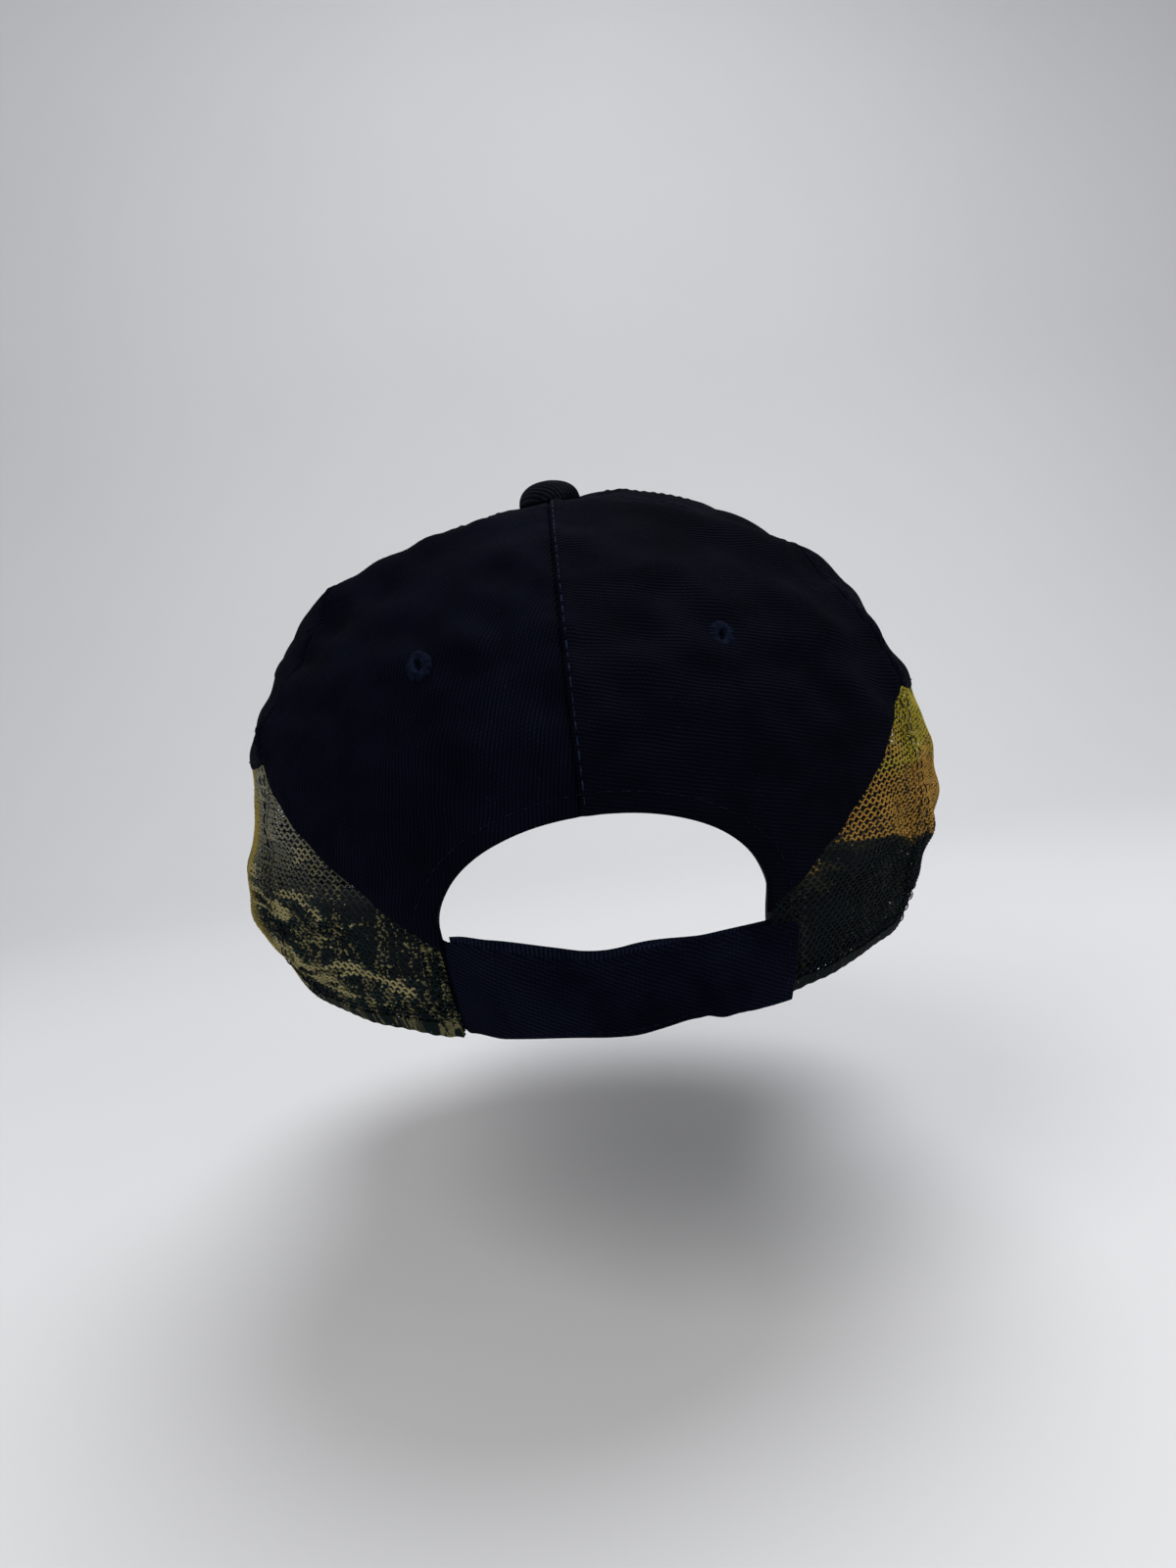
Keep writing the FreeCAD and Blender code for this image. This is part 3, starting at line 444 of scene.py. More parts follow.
def edge_distance(points, line):
    """Distance of each point to a polyline."""
    flat = points.reshape(-1, 3)
    best = np.full(len(flat), 1e9)
    for a, b in zip(line[:-1], line[1:]):
        run = b - a
        square = max(float(run @ run), 1e-16)
        t = np.clip(((flat - a) @ run) / square, 0, 1)
        best = np.minimum(best, np.linalg.norm(flat - (a + t[:, None] * run), axis=1))
    return best.reshape(points.shape[:-1])


def bell(distance, centre, width):
    """Smooth hump of height 1 round a centre."""
    return np.exp(-((distance - centre) / width) ** 2)


def rounded(distance, radius, drop):
    """How far a face drops towards an edge that is rolled over."""
    t = 1 - np.clip(distance / radius, 0, 1)
    return -drop * (1 - np.sqrt(np.maximum(1 - t * t, 0)))


def smooth_step(t):
    """Soft rise from 0 to 1."""
    t = np.clip(t, 0, 1)
    return t * t * (3 - 2 * t)


# ------------------------------------------------------------------ materials

class Graph:
    """Small builder for one procedural material."""

    def __init__(self, name):
        self.material = bpy.data.materials.new(name)
        self.material.use_nodes = True
        self.tree = self.material.node_tree
        self.shader = self.tree.nodes["Principled BSDF"]

    def node(self, kind, **values):
        item = self.tree.nodes.new("ShaderNode" + kind)
        for key, value in values.items():
            setattr(item, key, value)
        return item

    def put(self, socket, value):
        if isinstance(value, bpy.types.NodeSocket):
            self.tree.links.new(value, socket)
        else:
            socket.default_value = value

    def maths(self, operation, a, b=0.0, c=0.0):
        item = self.node("Math", operation=operation)
        for k, value in enumerate((a, b, c)):
            self.put(item.inputs[k], value)
        return item.outputs[0]

    def times(self, a, b):
        return self.maths("MULTIPLY", a, b)

    def plus(self, a, b):
        return self.maths("ADD", a, b)

    def over(self, a, b):
        return self.maths("DIVIDE", a, b)

    def scaled(self, a, factor, offset):
        return self.maths("MULTIPLY_ADD", a, factor, offset)

    def wave(self, turns):
        """Sine wave between 0 and 1, one for each turn."""
        return self.scaled(self.maths("SINE", self.times(turns, TWO_PI)), 0.5, 0.5)

    def cloth(self):
        """The two cloth coordinates, in millimetres."""
        uv = self.node("UVMap", uv_map="cloth")
        parts = self.node("SeparateXYZ")
        self.put(parts.inputs[0], uv.outputs[0])
        return parts.outputs[0], parts.outputs[1]

    def join(self, x, y, z=0.0):
        item = self.node("CombineXYZ")
        for k, value in enumerate((x, y, z)):
            self.put(item.inputs[k], value)
        return item.outputs[0]

    def place(self):
        return self.node("TexCoord").outputs["Object"]

    def noise(self, vector, scale, detail=3.0, rough=0.55, warp=0.0):
        item = self.node("TexNoise")
        self.put(item.inputs["Vector"], vector)
        item.inputs["Scale"].default_value = scale
        item.inputs["Detail"].default_value = detail
        item.inputs["Roughness"].default_value = rough
        item.inputs["Distortion"].default_value = warp
        return item.outputs[0]

    def ramp(self, value, *stops):
        """Colour ramp; each stop is a position and a colour or a grey."""
        item = self.node("ValToRGB")
        self.put(item.inputs[0], value)
        elements = item.color_ramp.elements
        while len(elements) < len(stops):
            elements.new(0.5)
        for element, (position, colour) in zip(elements, stops):
            element.position = position
            if not isinstance(colour, tuple):
                colour = (colour, colour, colour)
            element.color = colour + (1.0,)
        return item.outputs[0]

    def mix(self, share, a, b, blend="MIX"):
        item = self.node("Mix", data_type="RGBA", blend_type=blend)
        self.put(item.inputs[0], share)
        for socket, value in ((item.inputs[6], a), (item.inputs[7], b)):
            if isinstance(value, tuple):
                value = value + (1.0,)
            self.put(socket, value)
        return item.outputs[2]

    def finish(self, colour, roughness, height, relief, specular, sheen=0.0, metallic=0.0):
        """Sets the shader, with a bump from height; relief is its depth in metres."""
        shader = self.shader
        self.put(shader.inputs["Base Color"], colour)
        self.put(shader.inputs["Roughness"], roughness)
        shader.inputs["Specular IOR Level"].default_value = specular
        shader.inputs["Metallic"].default_value = metallic
        shader.inputs["Sheen Weight"].default_value = sheen
        shader.inputs["Sheen Roughness"].default_value = 0.45
        shader.inputs["Sheen Tint"].default_value = (1.0, 1.0, 1.0, 1.0)
        bump = self.node("Bump")
        bump.inputs["Strength"].default_value = 1.0
        bump.inputs["Distance"].default_value = relief
        self.put(bump.inputs["Height"], height)
        self.put(shader.inputs["Normal"], bump.outputs[0])
        return self.material


TWILL_PITCH = 0.88
NAVY = (0.0008, 0.0011, 0.0028)
NAVY_LIGHT = (0.0054, 0.0069, 0.0158)


def twill(name, lean, dark=NAVY, light=NAVY_LIGHT, pitch=TWILL_PITCH, wear=0.5):
    """Steep twill: ribs made of short floats; lean is the rib direction in degrees."""
    g = Graph(name)
    u, v = g.cloth()
    c = math.cos(math.radians(lean))
    s = math.sin(math.radians(lean))
    vector = g.join(u, v)
    wobble = g.times(g.noise(vector, 0.12, 4.0), 1.1)
    across = g.scaled(v, c, g.scaled(u, -s, wobble))
    along = g.scaled(v, s, g.times(u, c))
    turns = g.over(across, pitch)
    rib = g.wave(turns)
    step = g.times(g.maths("FLOOR", g.plus(turns, 0.25)), 0.37)
    floats = g.plus(g.over(along, 0.95), step)
    beat = g.wave(floats)
    fine = g.noise(vector, 3.2, 3.0, 0.7)
    height = g.scaled(beat, 0.28, g.times(rib, 0.72))
    height = g.scaled(fine, 0.35, height)
    # Rib tops take the light tone and the gaps between ribs stay dark: wear on the rib tops and
    # painted shade in the gaps.
    rib_wear_and_shade = g.maths("POWER", g.maths("MINIMUM", height, 1.0), 1.6)
    rub = g.ramp(g.noise(vector, 0.045, 5.0, 0.6, 0.4), (0.38, 0.0), (0.72, 1.0))
    lint = g.ramp(g.noise(vector, 1.3, 2.0, 0.8), (0.70, 0.0), (0.78, 1.0))
    share = g.scaled(rub, wear, 0.16)
    share = g.times(g.times(share, rib_wear_and_shade), g.plus(fine, 0.5))
    colour = g.mix(share, dark, light)
    colour = g.mix(g.times(lint, 0.10), colour, (0.16, 0.17, 0.19))
    return g.finish(colour, g.scaled(fine, 0.15, 0.78), height, 0.20 * MM, 0.012)


def thread(name, dark, light, sheen=0.0):
    """Twisted thread or fibre, lighter here and there."""
    g = Graph(name)
    spot = g.place()
    tone = g.noise(spot, 900.0, 2.0)
    shade = g.mix(g.ramp(tone, (0.35, 0.0), (0.7, 1.0)), dark, light)
    twist = g.noise(spot, 5200.0, 1.0)
    return g.finish(shade, 0.62, twist, 0.05 * MM, 0.015, sheen)


def plain_cloth(name, dark, light, pitch):
    """Plain weave of two crossing thread systems; pitch in mm."""
    g = Graph(name)
    u, v = g.cloth()
    vector = g.join(u, v)
    warp = g.maths("SINE", g.times(u, TWO_PI / pitch))
    weft = g.maths("SINE", g.times(v, TWO_PI / pitch))
    weave = g.scaled(g.times(warp, weft), 0.5, 0.5)
    fine = g.noise(vector, 2.5, 3.0, 0.7)
    height = g.scaled(fine, 0.5, weave)
    patches = g.noise(vector, 0.05, 4.0)
    share = g.times(g.plus(patches, weave), 0.5)
    colour = g.mix(share, dark, light)
    return g.finish(colour, g.scaled(fine, 0.2, 0.72), height, 0.08 * MM, 0.05, 0.03)


MESH_DARK = (0.004, 0.008, 0.009)
MESH_KHAKI = (0.30, 0.27, 0.13)
MESH_OLIVE = (0.34, 0.28, 0.032)
MESH_ORANGE = (0.40, 0.225, 0.045)
# Pale tone of the painted highlight specks on the yarn.
MESH_PAINTED_HIGHLIGHT = (0.55, 0.54, 0.46)


def camouflage(name, warm, seed):
    """Printed yarn: soft blotches and a few branches, pale specks of painted highlight and, on the
    cool side, painted light through the holes up high; warm gives the bright side.
    """
    g = Graph(name)
    u, v = g.cloth()
    blot = g.noise(g.join(g.times(u, 0.035), g.times(v, 0.11), seed),
                   1.0, 5.0, 0.62, 0.8)
    bits = g.noise(g.join(g.times(u, 0.06), g.times(v, 0.30), seed + 4),
                   1.0, 4.0, 0.7, 0.5)
    twig = g.noise(g.join(g.times(u, 0.16), g.times(v, 0.03), seed + 9),
                   1.0, 3.0, 0.6, 1.2)
    highlight_specks = g.noise(g.join(u, v, seed), 0.9, 2.0, 0.8)
    if warm:
        level = g.scaled(g.maths("SUBTRACT", blot, 0.5), 42.0, v)
        level = g.over(level, 80.0)
        base = g.ramp(level, (0.33, MESH_DARK), (0.375, (0.030, 0.030, 0.016)),
                      (0.40, MESH_ORANGE), (0.56, MESH_ORANGE), (0.68, MESH_OLIVE),
                      (0.95, MESH_OLIVE))
        streak = g.ramp(bits, (0.60, 0.0), (0.66, 1.0))
        base = g.mix(g.times(streak, 0.75), base, MESH_DARK)
    else:
        base = g.ramp(blot, (0.48, MESH_DARK), (0.545, (0.010, 0.021, 0.022)),
                      (0.57, MESH_KHAKI), (0.63, MESH_KHAKI), (0.66, MESH_DARK))
        streak = g.ramp(bits, (0.60, 0.0), (0.63, 1.0))
        base = g.mix(g.times(streak, 0.8), base, (0.20, 0.19, 0.085))
        # The upper part of the cool mesh is painted paler and greyer: painted light seen through the
        # holes.
        upper = g.ramp(g.over(v, 80.0), (0.40, 0.0), (0.62, 0.75))
        base = g.mix(upper, base, g.mix(bits, (0.05, 0.06, 0.05), (0.36, 0.35, 0.27)))
        side = g.ramp(g.over(u, -150.0), (0.66, 0.0), (0.70, 0.9),
                      (0.76, 0.9), (0.80, 0.0))
        base = g.mix(side, base, (0.30, 0.23, 0.045))
    branch = g.ramp(twig, (0.485, 0.0), (0.50, 1.0), (0.515, 1.0), (0.53, 0.0))
    base = g.mix(g.times(branch, 0.8), base, (0.020, 0.024, 0.018) if warm
                 else (0.16, 0.145, 0.07))
    # Pale specks of painted highlight on the yarn.
    base = g.mix(g.ramp(highlight_specks, (0.70, 0.0), (0.76, 0.6)), base, MESH_PAINTED_HIGHLIGHT)
    fibre = g.noise(g.place(), 4200.0, 2.0)
    base = g.mix(g.times(fibre, 0.35), base, (0.004, 0.005, 0.004))
    return g.finish(base, 0.66, fibre, 0.06 * MM, 0.03)


def metal(name, colour, rough):
    """Scratched bare metal."""
    g = Graph(name)
    scratch = g.noise(g.place(), 700.0, 5.0, 0.7)
    tone = g.mix(scratch, colour, tuple(0.6 * c for c in colour))
    return g.finish(tone, g.scaled(scratch, 0.25, rough), scratch, 0.02 * MM, 0.5, metallic=1.0)


def board(name):
    """Pale fibrous plastic."""
    g = Graph(name)
    grain = g.noise(g.place(), 420.0, 5.0, 0.6)
    tone = g.mix(grain, (0.62, 0.62, 0.60), (0.48, 0.48, 0.46))
    return g.finish(tone, g.scaled(grain, 0.2, 0.5), grain, 0.04 * MM, 0.4)


# The right back panel's twill has its own light tone, less blue than the left's: painted shade on
# that side of the crown.
TWILL_BACK = {-1: twill("navy_twill_back_left", 84),
              1: twill("navy_twill_back_right", -14, light=(0.0062, 0.0072, 0.0140))}
TWILL_SIDE = twill("navy_twill_side", 66)
TWILL_FRONT = twill("navy_twill_front", 62)
TWILL_VISOR = twill("navy_twill_visor", 62, wear=0.35)
TWILL_STRAP = twill("navy_twill_strap", -27, light=(0.0068, 0.0094, 0.0225), wear=0.7)
TWILL_STRAP_INNER = twill("navy_twill_inner_strap", 86, light=(0.012, 0.018, 0.040), wear=0.9)
# The button's twill has a much lighter, greyer light tone and more wear: real wear, with painted
# highlight over the button.
TWILL_BUTTON = twill("navy_twill_button", 40, light=(0.020, 0.023, 0.032), pitch=0.8, wear=1.2)
CAMO = {-1: camouflage("camo_mesh_cool", False, 3.0), 1: camouflage("camo_mesh_warm", True, 11.0)}
NAVY_THREAD = thread("navy_thread", (0.0012, 0.0018, 0.0045), (0.0055, 0.0075, 0.0170))
SEAM_THREAD = thread("seam_thread", (0.0020, 0.0035, 0.0100), (0.016, 0.024, 0.055))
EYELET_THREAD = thread("eyelet_thread", (0.0012, 0.0022, 0.0065), (0.0050, 0.0082, 0.0205))
TAPE_CLOTH = plain_cloth("seam_tape_weave", (0.010, 0.011, 0.016), (0.034, 0.036, 0.046), 0.55)
BAND_CLOTH = plain_cloth("sweatband_weave", (0.010, 0.011, 0.015), (0.030, 0.032, 0.040), 0.7)
BUCKRAM_YARN = thread("buckram_yarn", (0.030, 0.031, 0.034), (0.085, 0.085, 0.085), 0.05)
HOOK_PLASTIC = thread("hook_tape", (0.006, 0.007, 0.010), (0.020, 0.021, 0.026))
LOOP_FIBRE = thread("loop_tape", (0.012, 0.014, 0.020), (0.040, 0.044, 0.058), 0.4)
BUTTON_METAL = metal("button_metal", (0.55, 0.55, 0.56), 0.32)
VISOR_BOARD = board("visor_board_plastic")


def dress(obj, material, body, slot, *nodes):
    """Gives a piece its material and its body, and hides the nodes it replaces; slot is not used."""
    obj.data.materials.append(material)
    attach(obj, body)
    if nodes:
        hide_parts(*nodes)
    return obj


def dress_node(node, material):
    """Gives a shown CAD node a procedural material."""
    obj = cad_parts[node]
    if not obj.material_slots:
        obj.data.materials.append(material)
    for holder in obj.material_slots:
        holder.material = material


# ------------------------------------------------------------------ crown panels

PANEL = 1.2 * MM
ARCH_HALF = 36 * MM
ARCH_BASE = 27 * MM
ARCH_TOP = 49 * MM
LEG_HALF = 35.2 * MM
TIP_HEIGHT = 22 * MM
SIDE_HEIGHT = 64 * MM
FRONT_HEIGHT = 60 * MM
FRONT_TUCK = 2.5 * MM
CORNER_DROP = 3.0 * MM
ARCH_FOLD = 5.2 * MM
SEAM_SHIFT = 2.6 * MM
BACK_RADIUS = 96 * MM
BACK_SEAM = -SEAM_SHIFT / BACK_RADIUS
DART = 1.0 * MM
EDGE_ROLL = 0.9 * MM
EDGE_DROP = 0.5 * MM
FOLD_LIFT = 0.30 * MM
LAP = 3.4 * MM
LAP_LIFT = 0.42 * MM


def border(side, rear):
    """A point and an up direction of the plane that parts twill from mesh."""
    seam = side * SIDE_SEAM
    high = crown(seam, v_at_height(seam, SIDE_HEIGHT))
    if rear:
        angle = angle_at_x(side * LEG_HALF, TIP_HEIGHT)
        low = crown(angle, v_at_height(angle, TIP_HEIGHT))
    else:
        front = side * FRONT_SEAM
        low = crown(front, v_at_height(front, FRONT_HEIGHT))
    radial = np.array([high[0] + low[0], high[1] + low[1], 0.0])
    along = (high - low) / np.linalg.norm(high - low)
    across = radial - along * (radial @ along)
    up = np.cross(along, across / np.linalg.norm(across))
    return low, up * np.sign(up[2])


def v_on_border(angle, side, rear):
    """Height parameter where the twill meets the mesh."""
    point, up = border(side, rear)
    return solve(lambda v: (crown(angle, v) - point) @ up, np.zeros(np.shape(angle)), 0, 0.9, True)


def panel_uv(angle, v, middle):
    """Cloth coordinates in mm: round the crown and up its meridian."""
    levels = np.linspace(0, 1, 240)
    line = crown(middle, levels)
    around = from_axis(crown(angle, v)) * (angle - middle)
    return np.stack([around, np.interp(v, levels, run_length(line))], -1) / MM


def fan(lower_angle, lower_v, start, end, rows):
    """Angles and height parameters of a gore above a lower outline."""
    middle = 0.5 * (start + end)
    top = float(v_at_radius(middle, APEX_RADIUS))
    t = np.concatenate([[0, 0.0018, 0.0045, 0.009], np.linspace(0.018, 1, rows)])[:, None]
    share = np.linspace(0, 1, len(lower_angle))
    angle = lower_angle * (1 - t) + (start + (end - start) * share) * t
    return angle, lower_v * (1 - t) + top * t


def seam_profile(gap, run, phase):
    """Groove of a seam with the small puckers that its thread draws up."""
    pucker = 0.13 * np.sin(TWO_PI * run / 7.3 + phase) + 0.08 * np.sin(TWO_PI * run / 4.1 + 2 * phase)
    return (-0.60 * bell(gap, 0, 0.45 * MM) + 0.16 * bell(gap, 2.0 * MM, 1.3 * MM)
            + pucker * np.exp(-gap / (5 * MM))) * MM


def make_panel(name, lower_angle, lower_v, start, end, rows, fold=0.0, lap=None):
    """Twill gore with rolled edges, seam grooves and an optional turned edge."""
    angle, v = fan(lower_angle, lower_v, start, end, rows)
    middle = 0.5 * (start + end)
    uv = panel_uv(angle, v, middle)
    base = crown(angle, v)
    radius = from_axis(base)
    depth = np.zeros(angle.shape)
    for k, seam in enumerate((start, end)):
        gap = np.abs(angle - seam) * radius
        depth += seam_profile(gap, uv[..., 1], 1.7 * k + middle)
    edge = edge_distance(base, base[0])
    roll = rounded(edge, EDGE_ROLL, EDGE_DROP)
    depth += roll
    if fold:
        depth += FOLD_LIFT * smooth_step((fold - edge) / (0.8 * MM))
        depth -= 0.16 * MM * bell(edge, fold - 1.2 * MM, 0.5 * MM)
        depth += 0.10 * MM * np.sin(uv[..., 0] * 1.15) * bell(edge, 0.6 * fold, 0.5 * fold)
    if lap is not None:
        gap = np.abs(angle - lap) * radius
        depth += LAP_LIFT * smooth_step((LAP - gap) / (0.5 * MM)) * smooth_step(gap / (0.4 * MM))
    outer = cloth(angle, v, depth)
    inner = cloth(angle, v, -PANEL - roll)
    return slab(name, outer, inner, uv), angle, v


def declare(uv):
    """Reshapes a sheet's cloth coordinates in mm into pairs; nothing more is done with them."""
    uv = uv.reshape(-1, 2)


def finish_panel(obj, angle, v, middle, spot, word, side, material):
    cut_hole(obj, side, spot)
    dress(obj, material, "crown", "navy_twill", "%s_panel_%s" % (spot, word))
    declare(panel_uv(angle, v, middle))


def arch_points(side, count):
    """Angle and height parameter along the arch, from its top to its tip."""
    turn = np.linspace(math.acos(-side * SEAM_SHIFT / ARCH_HALF), 0, count)
    x = np.concatenate([ARCH_HALF * np.cos(turn), np.linspace(ARCH_HALF, LEG_HALF, 6)[1:]])
    z = np.concatenate([ARCH_BASE + (ARCH_TOP - ARCH_BASE) * np.sin(turn),
                        np.linspace(ARCH_BASE, TIP_HEIGHT, 6)[1:]])
    angle = angle_at_x(side * x, z)
    return angle, v_at_height(angle, z)


def back_panel(word, side):
    """Gore beside the back seam; it ends at the arch and, further out, at the mesh."""
    arch_angle, arch_v = arch_points(side, 46)
    seam = side * SIDE_SEAM
    rest = np.linspace(arch_angle[-1], seam, 62)[1:]
    lower_angle = np.concatenate([arch_angle, rest])
    lower_v = np.concatenate([arch_v, v_on_border(rest, side, True)])
    name = "back_panel_cloth_" + word
    obj, angle, v = make_panel(name, lower_angle, lower_v, BACK_SEAM, seam, 96, ARCH_FOLD,
                               BACK_SEAM if side > 0 else None)
    finish_panel(obj, angle, v, 0.5 * seam, "back", word, side, TWILL_BACK[side])


def side_panel(word, side):
    """Gore over the ear, above the mesh."""
    start = side * SIDE_SEAM
    end = side * FRONT_SEAM
    lower = np.linspace(start, end, 100)
    obj, angle, v = make_panel("side_panel_cloth_" + word, lower, v_on_border(lower, side, False),
                               start, end, 84)
    finish_panel(obj, angle, v, 0.5 * (start + end), "side", word, side, TWILL_SIDE)


def front_panel(word, side):
    """Gore beside the centre seam, down to the visor and lower at its outer corner."""
    start = side * FRONT_SEAM
    end = side * math.pi
    lower = np.linspace(start, end, 96)
    corner = smooth_step((0.95 + np.cos(lower)) / 0.45)
    low = hem(-np.cos(lower), FRONT_TUCK) + 1.0 * MM - CORNER_DROP * corner
    obj, angle, v = make_panel("front_panel_cloth_" + word, lower, v_at_height(lower, low),
                               start, end, 96)
    finish_panel(obj, angle, v, 0.5 * (start + end), "front", word, side, TWILL_FRONT)


def sew(rows, angle, v, depth=0.0, lift=0.0, out=1.0):
    """Stitches along a line on the folded cloth; out is -1 for its inner face."""
    stitch_row(rows, cloth(angle, v, depth), out * crown_normal(angle, v), lift)


SEAM_STITCH = 3.0 * MM
FRONT_LOW = 0.06


def crown_stitches():
    """Topstitching beside the seams, round the arch and along the borders."""
    top = float(v_at_radius(0.0, 13 * MM))

    def meridian(rows, seam, offset, low, lift):
        v = np.linspace(low, top, 160)
        sew(rows, seam + offset / from_axis(crown(seam, v)), v, 0.0, lift)

    ticks = Strands()
    above_arch = float(v_at_height(0.0, ARCH_TOP + 1 * MM))
    meridian(ticks, BACK_SEAM, 1.0 * MM, above_arch, 0.50 * MM)
    dress(ticks.build("back_seam_stitches"), SEAM_THREAD, "crown", "navy_thread")
    rows = Strands()
    meridian(rows, math.pi, SEAM_STITCH, FRONT_LOW, 0.10 * MM)
    meridian(rows, math.pi, -SEAM_STITCH, FRONT_LOW, 0.10 * MM)
    for _, side in SIDES:
        seam = side * SIDE_SEAM
        low = float(v_on_border(np.array([seam]), side, True)[0]) + 0.01
        meridian(rows, seam, side * SEAM_STITCH, low, 0.08 * MM)
        front = side * FRONT_SEAM
        low = float(v_on_border(np.array([front]), side, False)[0]) + 0.01
        meridian(rows, front, side * SEAM_STITCH, FRONT_LOW, 0.08 * MM)
        meridian(rows, front, -side * SEAM_STITCH, low, 0.08 * MM)
        for rear in (True, False):
            if rear:
                angle = np.linspace(angle_at_x(side * LEG_HALF, TIP_HEIGHT), seam, 120)[3:]
            else:
                angle = np.linspace(seam, front, 120)
            sew(rows, angle, v_on_border(angle, side, rear) + 0.014)
    offset = ARCH_FOLD - 0.7 * MM
    turn = np.linspace(-0.05, math.pi + 0.05, 260)
    z = ARCH_BASE + (ARCH_TOP - ARCH_BASE + offset) * np.sin(turn)
    angle = angle_at_x((ARCH_HALF + offset) * np.cos(turn), z)
    sew(rows, angle, v_at_height(angle, z), 0.18 * MM, 0.02 * MM)
    dress(rows.build("crown_topstitching"), NAVY_THREAD, "crown", "navy_thread")


# Angle in degrees, height in mm and number of steps of each frayed thread end.
LOOSE_ENDS = ((51, 47, 7), (57, 60, 5), (54, 54, 4), (40, 28, 5), (33.5, 23, 4), (60, 40, 4),
              (-36, 24, 5), (-50, 46, 4), (88, 66, 5))
FRAY_STEP = 0.75 * MM
FRAY_THREAD = 0.10 * MM


def loose_threads():
    """Frayed thread ends that stand off the seams, each a short random walk outward."""
    fray = Strands()
    for turn, height, steps in LOOSE_ENDS:
        angle = math.radians(turn)
        v = float(v_at_height(angle, height * MM))
        out = crown_normal(angle, v)
        side = np.array([math.cos(angle), math.sin(angle), 0.0])
        spot = cloth(angle, v, -0.4 * MM)
        heading = 0.7 * out + math.copysign(0.6, turn) * side
        path = [spot]
        for _ in range(steps):
            heading = heading + RNG.normal(size=3) * 0.45
            heading = heading / np.linalg.norm(heading)
            path.append(path[-1] + FRAY_STEP * heading)
        line, _ = resample(path, FRAY_STEP / 3)
        fray.tube(line, np.array([0.1, 0.2, 1.0]), FRAY_THREAD, FRAY_THREAD, sides=4)
    dress(fray.build("loose_threads"), NAVY_THREAD, "crown", "navy_thread")


# ------------------------------------------------------------------ knitted mesh sides

ROW = 1.1 * MM
HOLE = 2.1 * MM
WAVE = 0.34 * MM
YARN = 0.215 * MM
SEAM_RADIUS = 88 * MM
SEGMENTS = 7
YARN_SIDES = 5
THICK_BELOW = 36 * MM
HEM_FOLD = 5.6 * MM
HEM_STITCH = 4.9 * MM
MESH_START = 12 * MM
REAR_BAND = 3.4 * MM
SIDE_BAND = 2.2 * MM
BACK_EDGE = 5.0 * MM
MESH_OUT = -0.55 * MM
DOUBLE_OUT = -0.05 * MM
HEM_OUT = -0.95 * MM
# Height above the hem and depth of the cords in the turned hem, in mm.
HEM_CORDS = ((0.2, -0.3), (0.3, -0.9), (0.75, -0.15), (1.3, -0.1), (1.8, -0.05), (2.3, -0.05),
             (2.8, 0.0))


def lay_yarn(strands, store, angle, z, depth, wide, deep):
    """One length of yarn on the folded crown, and the cloth coordinates of its rings."""
    v = v_at_height(angle, z)
    strands.tube(cloth(angle, v, depth), crown_normal(angle, v), wide, deep, YARN_SIDES)
    store.append(np.repeat(np.stack([SEAM_RADIUS * angle, z], -1) / MM, YARN_SIDES, axis=0))


def knit(strands, store, start, end, low, high, depth, shift=0.0, level=False):
    """Rows of wavy yarn between two angles; low and high give heights by angle.

    The rows follow the hem, or stay level where the hem rises above its side height.
    """
    first, last = sorted((start, end))
    count = int((last - first) * SEAM_RADIUS / HOLE * SEGMENTS)
    angle = np.linspace(first, last, count)
    floor = low(angle)
    ceiling = high(angle)
    base = np.minimum(floor, HEM_SIDE) if level else floor
    rows = int((ceiling - base).max() / ROW) + 1
    run = SEAM_RADIUS * angle / HOLE
    for j in range(rows):
        sway = np.cos(TWO_PI * run + math.pi * (j + shift))
        slack = 0.10 * MM * np.sin(run * 0.9 + j * 2.4) + 0.07 * MM * np.sin(run * 2.3 + j)
        z = base + ROW * (j + 0.5 + 0.5 * shift) + WAVE * sway + slack
        inside = (z > floor + 0.2 * MM) & (z < ceiling)
        if not inside.any():
            continue
        edges = np.flatnonzero(np.diff(np.concatenate([[0], inside.astype(int), [0]])))
        for a, b in zip(edges[::2], edges[1::2]):
            if b - a < 4:
                continue
            part = slice(a, b)
            lift = depth + 0.10 * MM * np.cos(2 * TWO_PI * run[part])
            low_share = smooth_step((THICK_BELOW - z[part].mean()) / (8 * MM))
            thick = YARN * (1 + 0.30 * low_share)
            lay_yarn(strands, store, angle[part], z[part], lift, thick, thick * 1.1)


def border_height(side, rear):
    """Height of the twill border as a function of the angle."""
    first = 20 if rear else 57
    last = 57 if rear else 120
    known = side * np.radians(np.linspace(first, last, 75))
    z = crown(known, v_on_border(known, side, rear))[..., 2] + DART
    order = np.argsort(known)

    def height(angle):
        return np.interp(angle, known[order], z[order])

    return height


def hem_height(angle):
    """Height of the mesh's lower edge."""
    return hem(-np.cos(angle)) + 0.2 * MM


